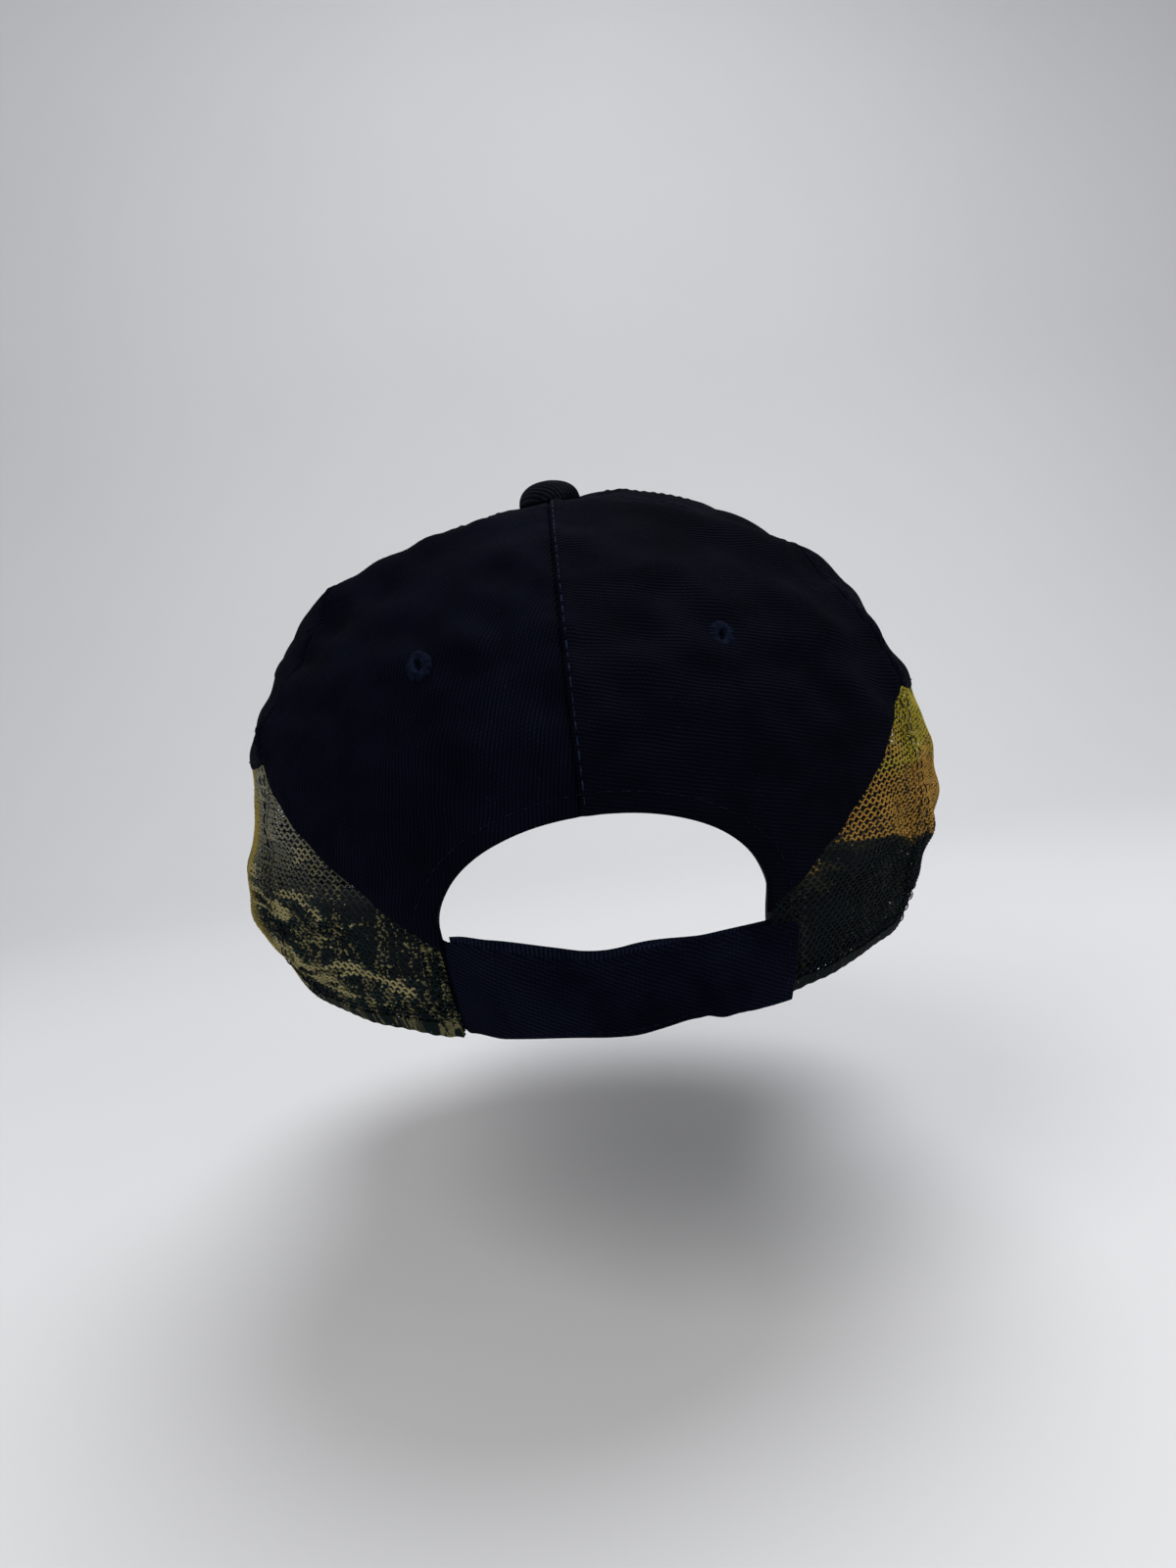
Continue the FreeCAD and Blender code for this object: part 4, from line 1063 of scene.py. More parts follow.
def mesh_piece(word, side, rear):
    """One knitted side piece with its doubled seam edge and turned hem."""
    strands = Strands()
    store = []
    seam = side * SIDE_SEAM
    if rear:
        start = float(angle_at_x(side * LEG_HALF, MESH_START))
        end = seam
        band = (seam - side * REAR_BAND / SEAM_RADIUS, seam)
        name = "back_mesh"
    else:
        start = seam
        end = side * FRONT_SEAM
        band = (seam, seam + side * SIDE_BAND / SEAM_RADIUS)
        name = "side_mesh"
    top = border_height(side, rear)
    knit(strands, store, start, end, hem_height, top, MESH_OUT, level=not rear)
    knit(strands, store, *band, hem_height, top, DOUBLE_OUT, shift=1.0)

    def turned(angle):
        return np.minimum(hem_height(angle) + HEM_FOLD, top(angle))

    knit(strands, store, start, end, hem_height, turned, HEM_OUT, shift=1.0)
    if rear:
        inner_edge = start + side * BACK_EDGE / SEAM_RADIUS
        knit(strands, store, start, inner_edge, hem_height, top, DOUBLE_OUT, shift=1.0)
    for height, out in HEM_CORDS:
        angle = np.linspace(start, end, 420)
        z = hem_height(angle) + height * MM + 0.12 * MM * np.sin(angle * 140 + 9 * out)
        lay_yarn(strands, store, angle, z, out * MM, 0.34 * MM, 0.3 * MM)
    obj = new_object("%s_knit_%s" % (name, word), np.concatenate(strands.points), strands.faces,
                     np.concatenate(store))
    dress(obj, CAMO[side], "crown", "camo_mesh", "%s_%s" % (name, word))
    grid_angle, share = np.meshgrid(np.linspace(start, end, 60), np.linspace(0, 1, 30))
    low = hem_height(grid_angle)
    z = low + np.maximum(top(grid_angle) - low, 0) * share
    declare(np.concatenate(store))


def mesh_stitches():
    """Dark thread along the mesh hem, the side seams and the turned back edges."""
    rows = Strands()
    for _, side in SIDES:
        seam = side * SIDE_SEAM
        start = float(angle_at_x(side * LEG_HALF, MESH_START))
        stop = side * math.acos(-VISOR_TURN)
        angle = np.linspace(start, stop, 400)
        sew(rows, angle, v_at_height(angle, hem_height(angle) + HEM_STITCH), 0.02 * MM)
        z = np.linspace(float(hem_height(seam)) + 1 * MM, SIDE_HEIGHT - 1 * MM, 160)
        for offset in (-1.9 * MM, 1.4 * MM):
            angle = np.full(len(z), seam + side * offset / SEAM_RADIUS)
            sew(rows, angle, v_at_height(angle, z), 0.45 * MM)
        z = np.linspace(3 * MM, TIP_HEIGHT + 3 * MM, 60)
        angle = np.full(len(z), start + side * 4.2 * MM / SEAM_RADIUS)
        sew(rows, angle, v_at_height(angle, z), 0.42 * MM)
    dress(rows.build("mesh_topstitching"), NAVY_THREAD, "crown", "navy_thread")


# ------------------------------------------------------------------ embroidered eyelets

# Angle in degrees, height in mm and lean of the slit in degrees, by panel.
EYELETS = {"back": (22.5, 83, 62), "side": (88, 88, 20), "front": (150, 96, 90)}
EYELET_RADIUS = 3.5 * MM
SLIT_LONG = 1.5 * MM
SLIT_WIDE = 0.55 * MM
SATIN = 0.25 * MM
SATIN_COUNT = 44
# Share of the way out and height in mm along one satin stitch.
SATIN_ARC = ((0, -1.5), (0.03, -0.5), (0.25, 0.28), (0.6, 0.36), (0.95, 0.12), (1.0, -0.35))


def eyelet_place(spot, side):
    """Centre of an eyelet on the folded cloth, and its outward direction."""
    turn, height, _ = EYELETS[spot]
    angle = side * math.radians(turn)
    v = float(v_at_height(angle, height * MM))
    return cloth(angle, v), crown_normal(angle, v)


def cut_hole(obj, side, spot):
    """Opens the cloth under the eyelet of this panel."""
    centre, axis = eyelet_place(spot, side)
    bm = bmesh.new()
    bm.from_mesh(obj.data)
    gone = []
    for face in bm.faces:
        offset = np.array(face.calc_center_median()) - centre
        flat = offset - axis * (offset @ axis)
        if np.linalg.norm(flat) < 0.42 * EYELET_RADIUS and np.linalg.norm(offset) < 6 * MM:
            gone.append(face)
    bmesh.ops.delete(bm, geom=gone, context="FACES")
    bm.to_mesh(obj.data)
    bm.free()


def eyelet(spot, word, side):
    """Satin stitches laid radially round a narrow slit."""
    centre, axis = eyelet_place(spot, side)
    level = np.cross([0, 0, 1], axis)
    level /= np.linalg.norm(level)
    rise = np.cross(axis, level)
    lean = side * math.radians(EYELETS[spot][2])
    first = math.cos(lean) * level + math.sin(lean) * rise
    second = np.cross(axis, first)
    strands = Strands()
    for k in range(SATIN_COUNT):
        turn = TWO_PI * k / SATIN_COUNT + RNG.uniform(-0.03, 0.03)
        inside = SLIT_LONG * math.cos(turn) * first + SLIT_WIDE * math.sin(turn) * second
        reach = EYELET_RADIUS * RNG.uniform(0.93, 1.06)
        outside = reach * (math.cos(turn) * first + 0.86 * math.sin(turn) * second)
        path = []
        for share, height in SATIN_ARC:
            path.append(centre + inside + (outside - inside) * share + axis * height * MM)
        strands.tube(path, axis, SATIN, SATIN * 0.9, sides=6)
    loop = []
    for k in range(41):
        turn = TWO_PI * k / 40
        loop.append(centre + 1.06 * SLIT_LONG * math.cos(turn) * first
                    + 1.5 * SLIT_WIDE * math.sin(turn) * second - axis * 0.6 * MM)
    strands.tube(loop, axis, 0.3 * MM, 0.4 * MM, sides=6)
    obj = strands.build("eyelet_stitching_%s_%s" % (spot, word))
    dress(obj, EYELET_THREAD, "crown", "navy_thread", "eyelet_%s_%s" % (spot, word))


# ------------------------------------------------------------------ button

BUTTON_RADIUS = 8.6 * MM
BUTTON_RISE = 6.4 * MM
BUTTON_SEAT = 124 * MM
BUTTON_CLOTH = 0.75 * MM


def button():
    """Cloth pulled over a domed shell, gathered under its rim."""
    rings = 34
    around = 84
    t = np.linspace(0.0, 1.0, rings)[:, None]
    turn = TWO_PI * np.arange(around + 1)[None, :] / around
    bend = t * 1.18 * math.pi / 2
    radius = BUTTON_RADIUS * np.sin(np.minimum(bend, math.pi / 2)) ** 0.92
    radius = radius * (1 - 0.14 * smooth_step((t - 0.85) / 0.15))
    height = BUTTON_RISE * np.maximum(np.cos(np.minimum(bend, math.pi / 2)), 0) ** 0.8
    height = height - 0.9 * MM * smooth_step((t - 0.85) / 0.15)
    gather = 0.16 * MM * np.sin(17 * turn + 0.6 * np.sin(3 * turn)) * smooth_step((t - 0.6) / 0.35)
    dent = 0.25 * MM * np.sin(2 * turn + 0.7) * np.sin(math.pi * t)
    radius = radius + gather + dent
    x = radius * np.sin(turn)
    y = -radius * np.cos(turn)
    z = BUTTON_SEAT + height + 0.12 * MM * np.sin(5 * turn + 1) * t
    outer = np.stack([x, y, np.broadcast_to(z, x.shape)], -1)
    inner = outer * np.array([0.9, 0.9, 1.0]) - np.array([0, 0, BUTTON_CLOTH])
    uv = np.stack([t * BUTTON_RADIUS * np.sin(turn), t * BUTTON_RADIUS * np.cos(turn)], -1) / MM
    columns = around + 1
    count = rings * columns
    faces = grid_faces(rings, columns, 0, False) + grid_faces(rings, columns, count, True)
    for a in range(count - columns, count - 1):
        faces.append([a, a + count, a + 1 + count, a + 1])
    obj = new_object("button_cloth", np.stack([outer, inner]), faces, np.stack([uv, uv]))
    merge(obj, 0.02 * MM)
    dress(obj, TWILL_BUTTON, "crown", "navy_twill", "button_cover")


def merge(obj, distance):
    """Joins points that coincide and turns the faces outward."""
    bm = bmesh.new()
    bm.from_mesh(obj.data)
    bmesh.ops.remove_doubles(bm, verts=bm.verts, dist=distance)
    bmesh.ops.recalc_face_normals(bm, faces=bm.faces)
    bm.to_mesh(obj.data)
    bm.free()


# ------------------------------------------------------------------ strap closure

STRAP = 1.4 * MM
STRAP_LOW = 1.8 * MM
STRAP_TALL = 20 * MM
STRAP_ROOT = 33.2 * MM
STRAP_END = 40 * MM
STRAP_OUT = 0.8 * MM
STRAP_MARGIN = 1.7 * MM
ROOT_OUT = -1.3 * MM
TURN_RUN = 9 * MM
INNER_RISE = 1.2 * MM
INNER_OUT = -2.7 * MM
INNER_END = 22 * MM
FASTENER = 0.75 * MM
FASTENER_MARGIN = 2 * MM
PILE_HEIGHT = 0.36 * MM
PILE_FIBRE = 0.07 * MM
TAB = 0.7 * MM
TAB_LENGTH = 10 * MM
TAB_MARGIN = 2 * MM
TAB_OUT = -2.9 * MM
ROOT_END = 37.5 * MM
FACING_TALL = 10.2 * MM
FACING_LOW = STRAP_LOW + STRAP_TALL - 9.6 * MM
FACING_START = -ROOT_END + 4 * MM
FACING_END = STRAP_END - 3 * MM
FACING_TUCK = 0.8 * MM


def ribbon(name, x_start, x_end, low, tall, outer, thickness, wave, corner=0.0, mesh=0.55 * MM):
    """Upright strip round the back, with rolled edges; wave(x, t) moves it out and up."""
    columns = int(abs(x_end - x_start) / mesh)
    rows = max(8, int(tall / mesh))
    x = np.linspace(x_start, x_end, columns)[None, :]
    t = np.linspace(0, 1, rows)
    t = np.unique(np.concatenate([t, [0.006, 0.02, 0.98, 0.994]]))[:, None]
    out, lift = wave(x, t)
    middle = low + 0.5 * tall
    end_gap = np.minimum(np.abs(x - x_start), np.abs(x - x_end))
    trim = np.zeros(x.shape)
    if corner:
        near = np.clip(1 - np.abs(x - x_end) / corner, 0, 1)
        trim = corner * (1 - np.sqrt(1 - near ** 2))
    z = low + trim + (tall - 2 * trim) * t + lift
    angle = np.broadcast_to(angle_at_x(x, middle), z.shape)
    v = v_at_height(angle, z)
    base = crown(angle, v)
    n = crown_normal(angle, v)
    edge = np.minimum(np.minimum(t, 1 - t) * tall, end_gap)
    roll = rounded(edge, 0.55 * thickness, 0.45 * thickness)
    face = outer(x) + out
    outside = base + n * (face + roll)[..., None]
    inside = base + n * (face - thickness - roll)[..., None]
    uv = np.stack(np.broadcast_arrays(x / MM, z / MM), -1)
    return slab(name, outside, inside, uv), (base, n, face, x, t, z)


def outer_depth(x):
    """How far the outer strap's face stands from the crown: sunk at its root, then proud."""
    rise = smooth_step((x + STRAP_ROOT) / TURN_RUN)
    tuck = smooth_step((-x - STRAP_ROOT) / (2.4 * MM))
    start = ROOT_OUT + STRAP
    return start + (STRAP_OUT + STRAP - start) * rise - (STRAP + 0.1 * MM) * tuck


def outer_wave(x, t):
    """Soft waves of the loose outer strap and a crease near its free end."""
    free = smooth_step((x + 26 * MM) / (20 * MM))
    out = 0.40 * MM * np.sin(x / MM * 0.17 + 0.6) * free * (0.4 + t)
    out = out - 0.70 * MM * bell(x, 20 * MM - 3 * MM * t, 1.5 * MM)
    out = out + 0.40 * MM * bell(x, 23.8 * MM - 3 * MM * t, 2.0 * MM)
    out = out + 0.35 * MM * bell(x, 4 * MM + 5 * MM * t, 4.0 * MM)
    sag = 2.4 * MM * smooth_step((-x - 12 * MM) / (20 * MM)) - 3.2 * MM * bell(x, -3 * MM, 13 * MM)
    sag = sag - 1.9 * MM * smooth_step((x - 4 * MM) / (20 * MM))
    dip = -0.9 * MM * bell(x, 2 * MM, 9 * MM) + 0.5 * MM * bell(x, 16 * MM, 4 * MM)
    dip = dip - 0.5 * MM * bell(x, 24 * MM, 4 * MM)
    dip = dip - 2.2 * MM * smooth_step((x - 24 * MM) / (14 * MM))
    return out + 0.2 * MM * np.sin(math.pi * t), sag * t + (dip + 0.15 * sag) * (1 - t)


def facing_wave(x, t):
    """Rise of the strap's own facing above its front edge, highest near its root."""
    out, lift = outer_wave(x, 1.0)
    rise = 1.9 * MM * bell(x, -14 * MM, 17 * MM) - 0.6 * MM * smooth_step((x - 8 * MM) / (10 * MM))
    return out + 0.1 * MM, lift + rise + 0.0 * t


def flat_wave(x, t):
    """Faint unevenness of a strip that lies against another."""
    return 0.06 * MM * np.sin(x / MM * 0.3 + 4 * t), 0.0 * x * t


def strip_stitches(name, grid, margin, body, lift=0.0, inward=False, ends=()):
    """Stitch rows along a strip, a margin in from its long edges, and across it."""
    base, n, face, x, t, z = grid
    rows = Strands()
    tall = float((z[-1] - z[0]).mean())
    sign = -1.0 if inward else 1.0
    depth = face - (STRAP if inward else 0.0)
    surface = base + n * (depth + sign * lift)[..., None]
    for share in (margin / tall, 1 - margin / tall):
        row = int(np.argmin(np.abs(t[:, 0] - share)))
        stitch_row(rows, surface[row, 3:-3], sign * n[row, 3:-3])
    for end in ends:
        column = int(np.argmin(np.abs(x[0] - end)))
        stitch_row(rows, surface[4:-4, column], sign * n[4:-4, column])
    dress(rows.build(name), NAVY_THREAD, body, "navy_thread")


def dress_root(obj, material, node):
    """Gives a strap its material, bakes its placement into its points and hides the node it replaces.
    """
    obj.data.materials.append(material)
    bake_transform(obj)
    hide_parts(node)


def inner_wave(x, t):
    """Sag of the inner strap's top edge behind the outer strap."""
    drop = 3.6 * MM * bell(x, -1 * MM, 14 * MM) + 3.2 * MM * smooth_step((x - 4 * MM) / (18 * MM))
    return 0.0 * x, -(drop + 0.4 * MM) * t


def straps():
    """Both strap halves with their rows of stitches."""
    outer, grid = ribbon("outer_strap_cloth", -ROOT_END, STRAP_END, STRAP_LOW, STRAP_TALL,
                         outer_depth, STRAP, outer_wave, corner=1.6 * MM)
    dress_root(outer, TWILL_STRAP, "outer_strap")
    facing, _ = ribbon("outer_strap_facing", FACING_START, FACING_END, FACING_LOW, FACING_TALL,
                       lambda x: outer_depth(x) - FACING_TUCK, 0.55 * MM, facing_wave)
    dress(facing, TWILL_STRAP_INNER, "outer_strap_arm", "navy_twill")
    strip_stitches("outer_strap_stitching", grid, STRAP_MARGIN, "outer_strap_arm", -0.13 * MM,
                   ends=(STRAP_END - 2 * MM,))
    inner, grid = ribbon("inner_strap_cloth", -INNER_END, ROOT_END, STRAP_LOW + INNER_RISE,
                         STRAP_TALL, lambda x: INNER_OUT + STRAP + 0 * x, STRAP, inner_wave)
    dress_root(inner, TWILL_STRAP_INNER, "inner_strap")
    strip_stitches("inner_strap_stitching", grid, STRAP_MARGIN, "inner_strap_arm")


def fastener(name, node, x_start, x_end, low, outer, face_out, material, slot, body, wave):
    """Backing tape with rows of tiny hooks or loops on one face."""
    tall = STRAP_TALL - 2 * FASTENER_MARGIN
    tape, grid = ribbon(name, x_start, x_end, low + FASTENER_MARGIN, tall,
                        lambda x: outer + 0 * x, 0.5 * FASTENER,
                        lambda x, t: wave(x, 0.1 + 0.8 * t), mesh=0.9 * MM)
    base, n, face = grid[:3]
    sign = 1.0 if face_out else -1.0
    surface = base + n * (face if face_out else face - 0.5 * FASTENER)[..., None]
    strands = Strands()
    height = PILE_HEIGHT
    for i in range(2, surface.shape[0] - 2):
        for j in range(1, surface.shape[1] - 1):
            root = surface[i, j] + RNG.normal(size=3) * 0.08 * MM
            up = sign * n[i, j]
            side = surface[i, j + 1] - surface[i, j - 1]
            side /= np.linalg.norm(side)
            if face_out:
                lean = RNG.uniform(0, TWO_PI)
                across = math.cos(lean) * side + math.sin(lean) * np.cross(up, side)
                path = [root, root + up * height + across * 0.15 * MM,
                        root + up * height + across * 0.5 * MM, root + across * 0.65 * MM]
            else:
                path = [root, root + up * 0.8 * height, root + up * height + side * 0.18 * MM,
                        root + up * 0.6 * height + side * 0.32 * MM]
            strands.tube(path, np.cross(up, side) + 0.1 * up, PILE_FIBRE, PILE_FIBRE, sides=3)
    pile = strands.build(name + ("_loops" if face_out else "_hooks"))
    dress(tape, material, body, slot, node)
    dress(pile, material, body, slot)


def tabs():
    """Short strap ends sewn inside the crown at both sides of the opening."""
    for word, side, rise, tall, node in (("left", -1, 0.0, 18 * MM, "outer_strap_tab"),
                                         ("right", 1, INNER_RISE, 14 * MM, "inner_strap_tab")):
        near = side * (STRAP_ROOT + 1.0 * MM)
        far = near + side * TAB_LENGTH
        tab, grid = ribbon("strap_tab_" + word, *sorted((near, far)), STRAP_LOW + rise + 1 * MM,
                           tall, lambda x: TAB_OUT + 0 * x, TAB, flat_wave)
        dress(tab, TWILL_STRAP, "crown", "navy_twill", node)
        strip_stitches("strap_tab_stitching_" + word, grid, TAB_MARGIN, "crown", inward=True,
                       ends=(near + side * TAB_MARGIN, far - side * TAB_MARGIN))


# ------------------------------------------------------------------ inside of the crown

TAPE_WIDTH = 12 * MM
TAPE_OUT = -1.45 * MM
TAPE = 0.55 * MM
TAPE_TOP = 13.5 * MM
FACING_LEG = 24.6 * MM
FACING_RADIUS = 34.0


def strip_slab(name, angle, v, outer, thickness, uv, material, slot, *nodes):
    """Thin slab on the folded cloth between two depths, with rolled edges."""
    base = crown(angle, v)
    edge = np.minimum(np.linalg.norm(base - base[:, :1], axis=-1),
                      np.linalg.norm(base - base[:, -1:], axis=-1))
    roll = rounded(edge, 0.5 * MM, 0.4 * thickness)
    obj = slab(name, cloth(angle, v, outer + roll), cloth(angle, v, outer - thickness - roll), uv)
    dress(obj, material, "crown", slot, *nodes)
    declare(uv)


def seam_tape(name, seam, low, high):
    """Woven tape over one seam, sewn down along both edges."""
    v = np.linspace(low, high, 120)[:, None]
    radius = from_axis(crown(seam, v))
    across = np.linspace(-0.5, 0.5, 15)[None, :] * TAPE_WIDTH
    angle = seam + across / radius
    v = np.broadcast_to(v, angle.shape)
    length = panel_uv(np.full(v.shape, seam), v, seam)[..., 1]
    uv = np.stack([np.broadcast_to(across / MM, v.shape), length], -1)
    wave = 0.05 * MM * np.sin(length * 0.9)
    strip_slab(name + "_cloth", angle, v, TAPE_OUT + wave, TAPE, uv, TAPE_CLOTH, "seam_tape", name)
    rows = Strands()
    for offset in (-0.36, 0.36):
        sew(rows, seam + offset * TAPE_WIDTH / radius[:, 0], v[:, 0], TAPE_OUT - TAPE, out=-1.0)
    dress(rows.build(name + "_stitching"), NAVY_THREAD, "crown", "navy_thread")


def seam_tapes():
    """A tape over each of the crown's six seams."""
    top = float(v_at_radius(0.0, TAPE_TOP))
    seam_tape("seam_tape_back", 0.0, float(v_at_height(0.0, ARCH_TOP + 11 * MM)), top)
    seam_tape("seam_tape_centre", math.pi, float(v_at_height(math.pi, 32.5 * MM)), top)
    for word, side in SIDES:
        for name, seam in (("side", SIDE_SEAM), ("front", FRONT_SEAM)):
            low = float(hem(np.array(-math.cos(seam)))) + 1.2 * MM
            if name == "front":
                low += FRONT_TUCK
            at = float(v_at_height(side * seam, low))
            seam_tape("seam_tape_%s_%s" % (name, word), side * seam, at,
                      float(v_at_radius(seam, TAPE_TOP)))


def arch_facing():
    """Bias strip that finishes the inside of the back opening."""
    turn = np.linspace(0.0, math.pi, 150)[None, :]
    reach = np.linspace(0.1, 10.3, 13)[:, None] * MM
    x = (ARCH_HALF + reach) * np.cos(turn)
    z = np.maximum(ARCH_BASE + (ARCH_TOP - ARCH_BASE + reach) * np.sin(turn), FACING_LEG)
    angle = angle_at_x(x, z)
    v = v_at_height(angle, z)
    uv = np.stack(np.broadcast_arrays(turn * FACING_RADIUS, reach / MM), -1)
    strip_slab("arch_facing_cloth", angle, v, TAPE_OUT + 0 * x, TAPE, uv, TAPE_CLOTH, "seam_tape",
               "arch_facing")


BUCKRAM_OUT = -1.62 * MM
BUCKRAM_SWAY = 0.12 * MM
BUCKRAM_TOP = 34 * MM
BUCKRAM_ROWS = 62
BUCKRAM_COLUMNS = 40


def buckram():
    """Open plain-woven stiffener behind each front panel."""
    middle = math.radians(150)
    top = float(v_at_radius(middle, BUCKRAM_TOP))
    levels = np.linspace(0.035, 1, BUCKRAM_ROWS) * top
    shares = np.linspace(0, 1, BUCKRAM_COLUMNS)
    for word, side in SIDES:
        strands = Strands()

        def at(v, share):
            trim = (0.5 * TAPE_WIDTH + 0.6 * MM) / from_axis(crown(middle, v))
            angle = FRONT_SEAM + trim + (math.pi - FRONT_SEAM - 2 * trim) * share
            floor = hem(-np.cos(angle), FRONT_TUCK) + 4 * MM
            return side * angle, np.maximum(v, v_at_height(side * angle, floor))

        def lay(v, share, over):
            angle, v = at(v, share)
            strands.tube(cloth(angle, v, BUCKRAM_OUT + over), crown_normal(angle, v),
                         0.34 * MM, 0.13 * MM, sides=4)

        for k, level in enumerate(levels):
            share = np.linspace(0, 1, 60)
            crossings = share * (BUCKRAM_COLUMNS - 1) + k
            lay(np.full(60, level), share, BUCKRAM_SWAY * np.cos(math.pi * crossings))
        for k, share in enumerate(shares):
            crossings = np.linspace(0, BUCKRAM_ROWS - 1, 90) + k
            lay(np.linspace(levels[0], top, 90), np.full(90, share),
                -BUCKRAM_SWAY * np.cos(math.pi * crossings))
        obj = strands.build("front_buckram_weave_" + word)
        dress(obj, BUCKRAM_YARN, "crown", "buckram", "front_buckram_" + word)
        angle, v = at(*np.meshgrid(levels, shares, indexing="ij"))
        declare(panel_uv(angle, v, side * middle))


BAND_TALL = 33 * MM
BAND_OUT = -2.85 * MM
BAND = 1.1 * MM
BAND_SEAM = 3 * MM


def sweatband():
    """Padded band inside the hem, from one side of the opening to the other."""
    start = float(angle_at_x(36.6 * MM, 18 * MM))
    line = np.linspace(start, TWO_PI - start, 420)
    t = np.linspace(0, 1, 40)
    t = np.unique(np.concatenate([t, [0.005, 0.015, 0.985, 0.995]]))[:, None]
    turn = -np.cos(line)
    low = hem(turn) + 0.5 * MM + 0.6 * MM * smooth_step((turn - VISOR_TURN) / 0.05)
    z = low + BAND_TALL * t
    angle = np.broadcast_to(line, z.shape)
    v = v_at_height(angle, z)
    run = line * SEAM_RADIUS / MM
    edge = np.minimum(t, 1 - t) * BAND_TALL
    roll = rounded(edge, 0.7 * MM, 0.5 * MM)
    seam = bell(t * BAND_TALL, BAND_TALL - BAND_SEAM, 0.8 * MM)
    pucker = 0.10 * MM * np.sin(run * 0.8) * bell(t * BAND_TALL, BAND_TALL - BAND_SEAM, 4 * MM)
    crush = 0.35 * MM * np.sin(run * 0.11 + 1.0) * np.sin(math.pi * t)
    inner = BAND_OUT - BAND - roll + 0.3 * MM * seam - np.abs(pucker) - np.abs(crush)
    outer = np.broadcast_to(BAND_OUT + roll, z.shape)
    uv = np.stack(np.broadcast_arrays(run, z / MM), -1)
    obj = slab("sweatband_cloth", cloth(angle, v, outer), cloth(angle, v, inner), uv)
    dress(obj, BAND_CLOTH, "crown", "sweatband_cloth", "sweatband")
    rows = Strands()
    for height in (BAND_SEAM, BAND_TALL - BAND_SEAM):
        sew(rows, line, v_at_height(line, low + height), BAND_OUT - BAND + 0.1 * MM, 0.12 * MM,
            out=-1.0)
    dress(rows.build("sweatband_stitching"), NAVY_THREAD, "crown", "navy_thread")


# ------------------------------------------------------------------ visor

VISOR_TIP = 168 * MM
VISOR_HALF = 91 * MM
VISOR_CORNER = 56 * MM
VISOR_FRONT = 112 * MM
VISOR_INNER = 82 * MM
VISOR_ROOT_HALF = 81 * MM
VISOR_ROOT_START = 26 * MM
VISOR_COVER = 0.9 * MM
VISOR_THICK = 4.0 * MM
VISOR_RIM = 2.0 * MM
VISOR_ROW = 6.5 * MM
VISOR_INNER_Y = VISOR_ROOT_START - math.sqrt(VISOR_INNER ** 2 - VISOR_ROOT_HALF ** 2)
VISOR_CLEAR = 99 * MM
QUILT = 0.13 * MM
STITCH_SINK = 0.24 * MM


def visor_outline(grow, count):
    """Outer edge of the visor from its left root corner to its right one, in plan."""
    front = VISOR_FRONT + grow
    corner = VISOR_CORNER + grow
    centre_x = VISOR_HALF - VISOR_CORNER
    front_y = VISOR_TIP - VISOR_FRONT
    reach = VISOR_FRONT - VISOR_CORNER
    corner_y = front_y + math.sqrt(reach ** 2 - centre_x ** 2)
    joint = math.atan2(corner_y - front_y, centre_x)
    points = [(-VISOR_ROOT_HALF - max(grow, 0), VISOR_ROOT_START)]
    for turn in np.linspace(math.pi + 0.05, math.pi - joint, 30):
        points.append((-centre_x + corner * math.cos(turn), corner_y + corner * math.sin(turn)))
    for turn in np.linspace(math.pi - joint, joint, 60)[1:]:
        points.append((front * math.cos(turn), front_y + front * math.sin(turn)))
    for turn in np.linspace(joint, -0.05, 30)[1:]:
        points.append((centre_x + corner * math.cos(turn), corner_y + corner * math.sin(turn)))
    points.append((VISOR_ROOT_HALF + max(grow, 0), VISOR_ROOT_START))
    plan = np.array(points)
    length = run_length(plan)
    return read_at(np.linspace(0, length[-1], count), length, plan)


def visor_inner(count):
    """Edge of the visor along the crown, in plan, from left to right."""
    spread = math.atan2(VISOR_ROOT_START - VISOR_INNER_Y, VISOR_ROOT_HALF)
    turn = np.linspace(math.pi - spread, spread, count)
    return np.stack([VISOR_INNER * np.cos(turn), VISOR_INNER_Y + VISOR_INNER * np.sin(turn)], -1)


def on_visor(plan, depth):
    """Points below the visor's top face by a depth, from their places in plan."""
    x = plan[..., 0]
    y = plan[..., 1]
    step = 0.5 * MM
    slope_x = (visor_top(x + step, y) - visor_top(x - step, y)) / (2 * step)
    slope_y = (visor_top(x, y + step) - visor_top(x, y - step)) / (2 * step)
    n = np.stack([-slope_x, -slope_y, np.ones(x.shape)], -1)
    n /= np.linalg.norm(n, axis=-1, keepdims=True)
    base = np.stack([x, y, visor_top(x, y)], -1)
    return base - n * np.broadcast_to(depth, x.shape)[..., None], n


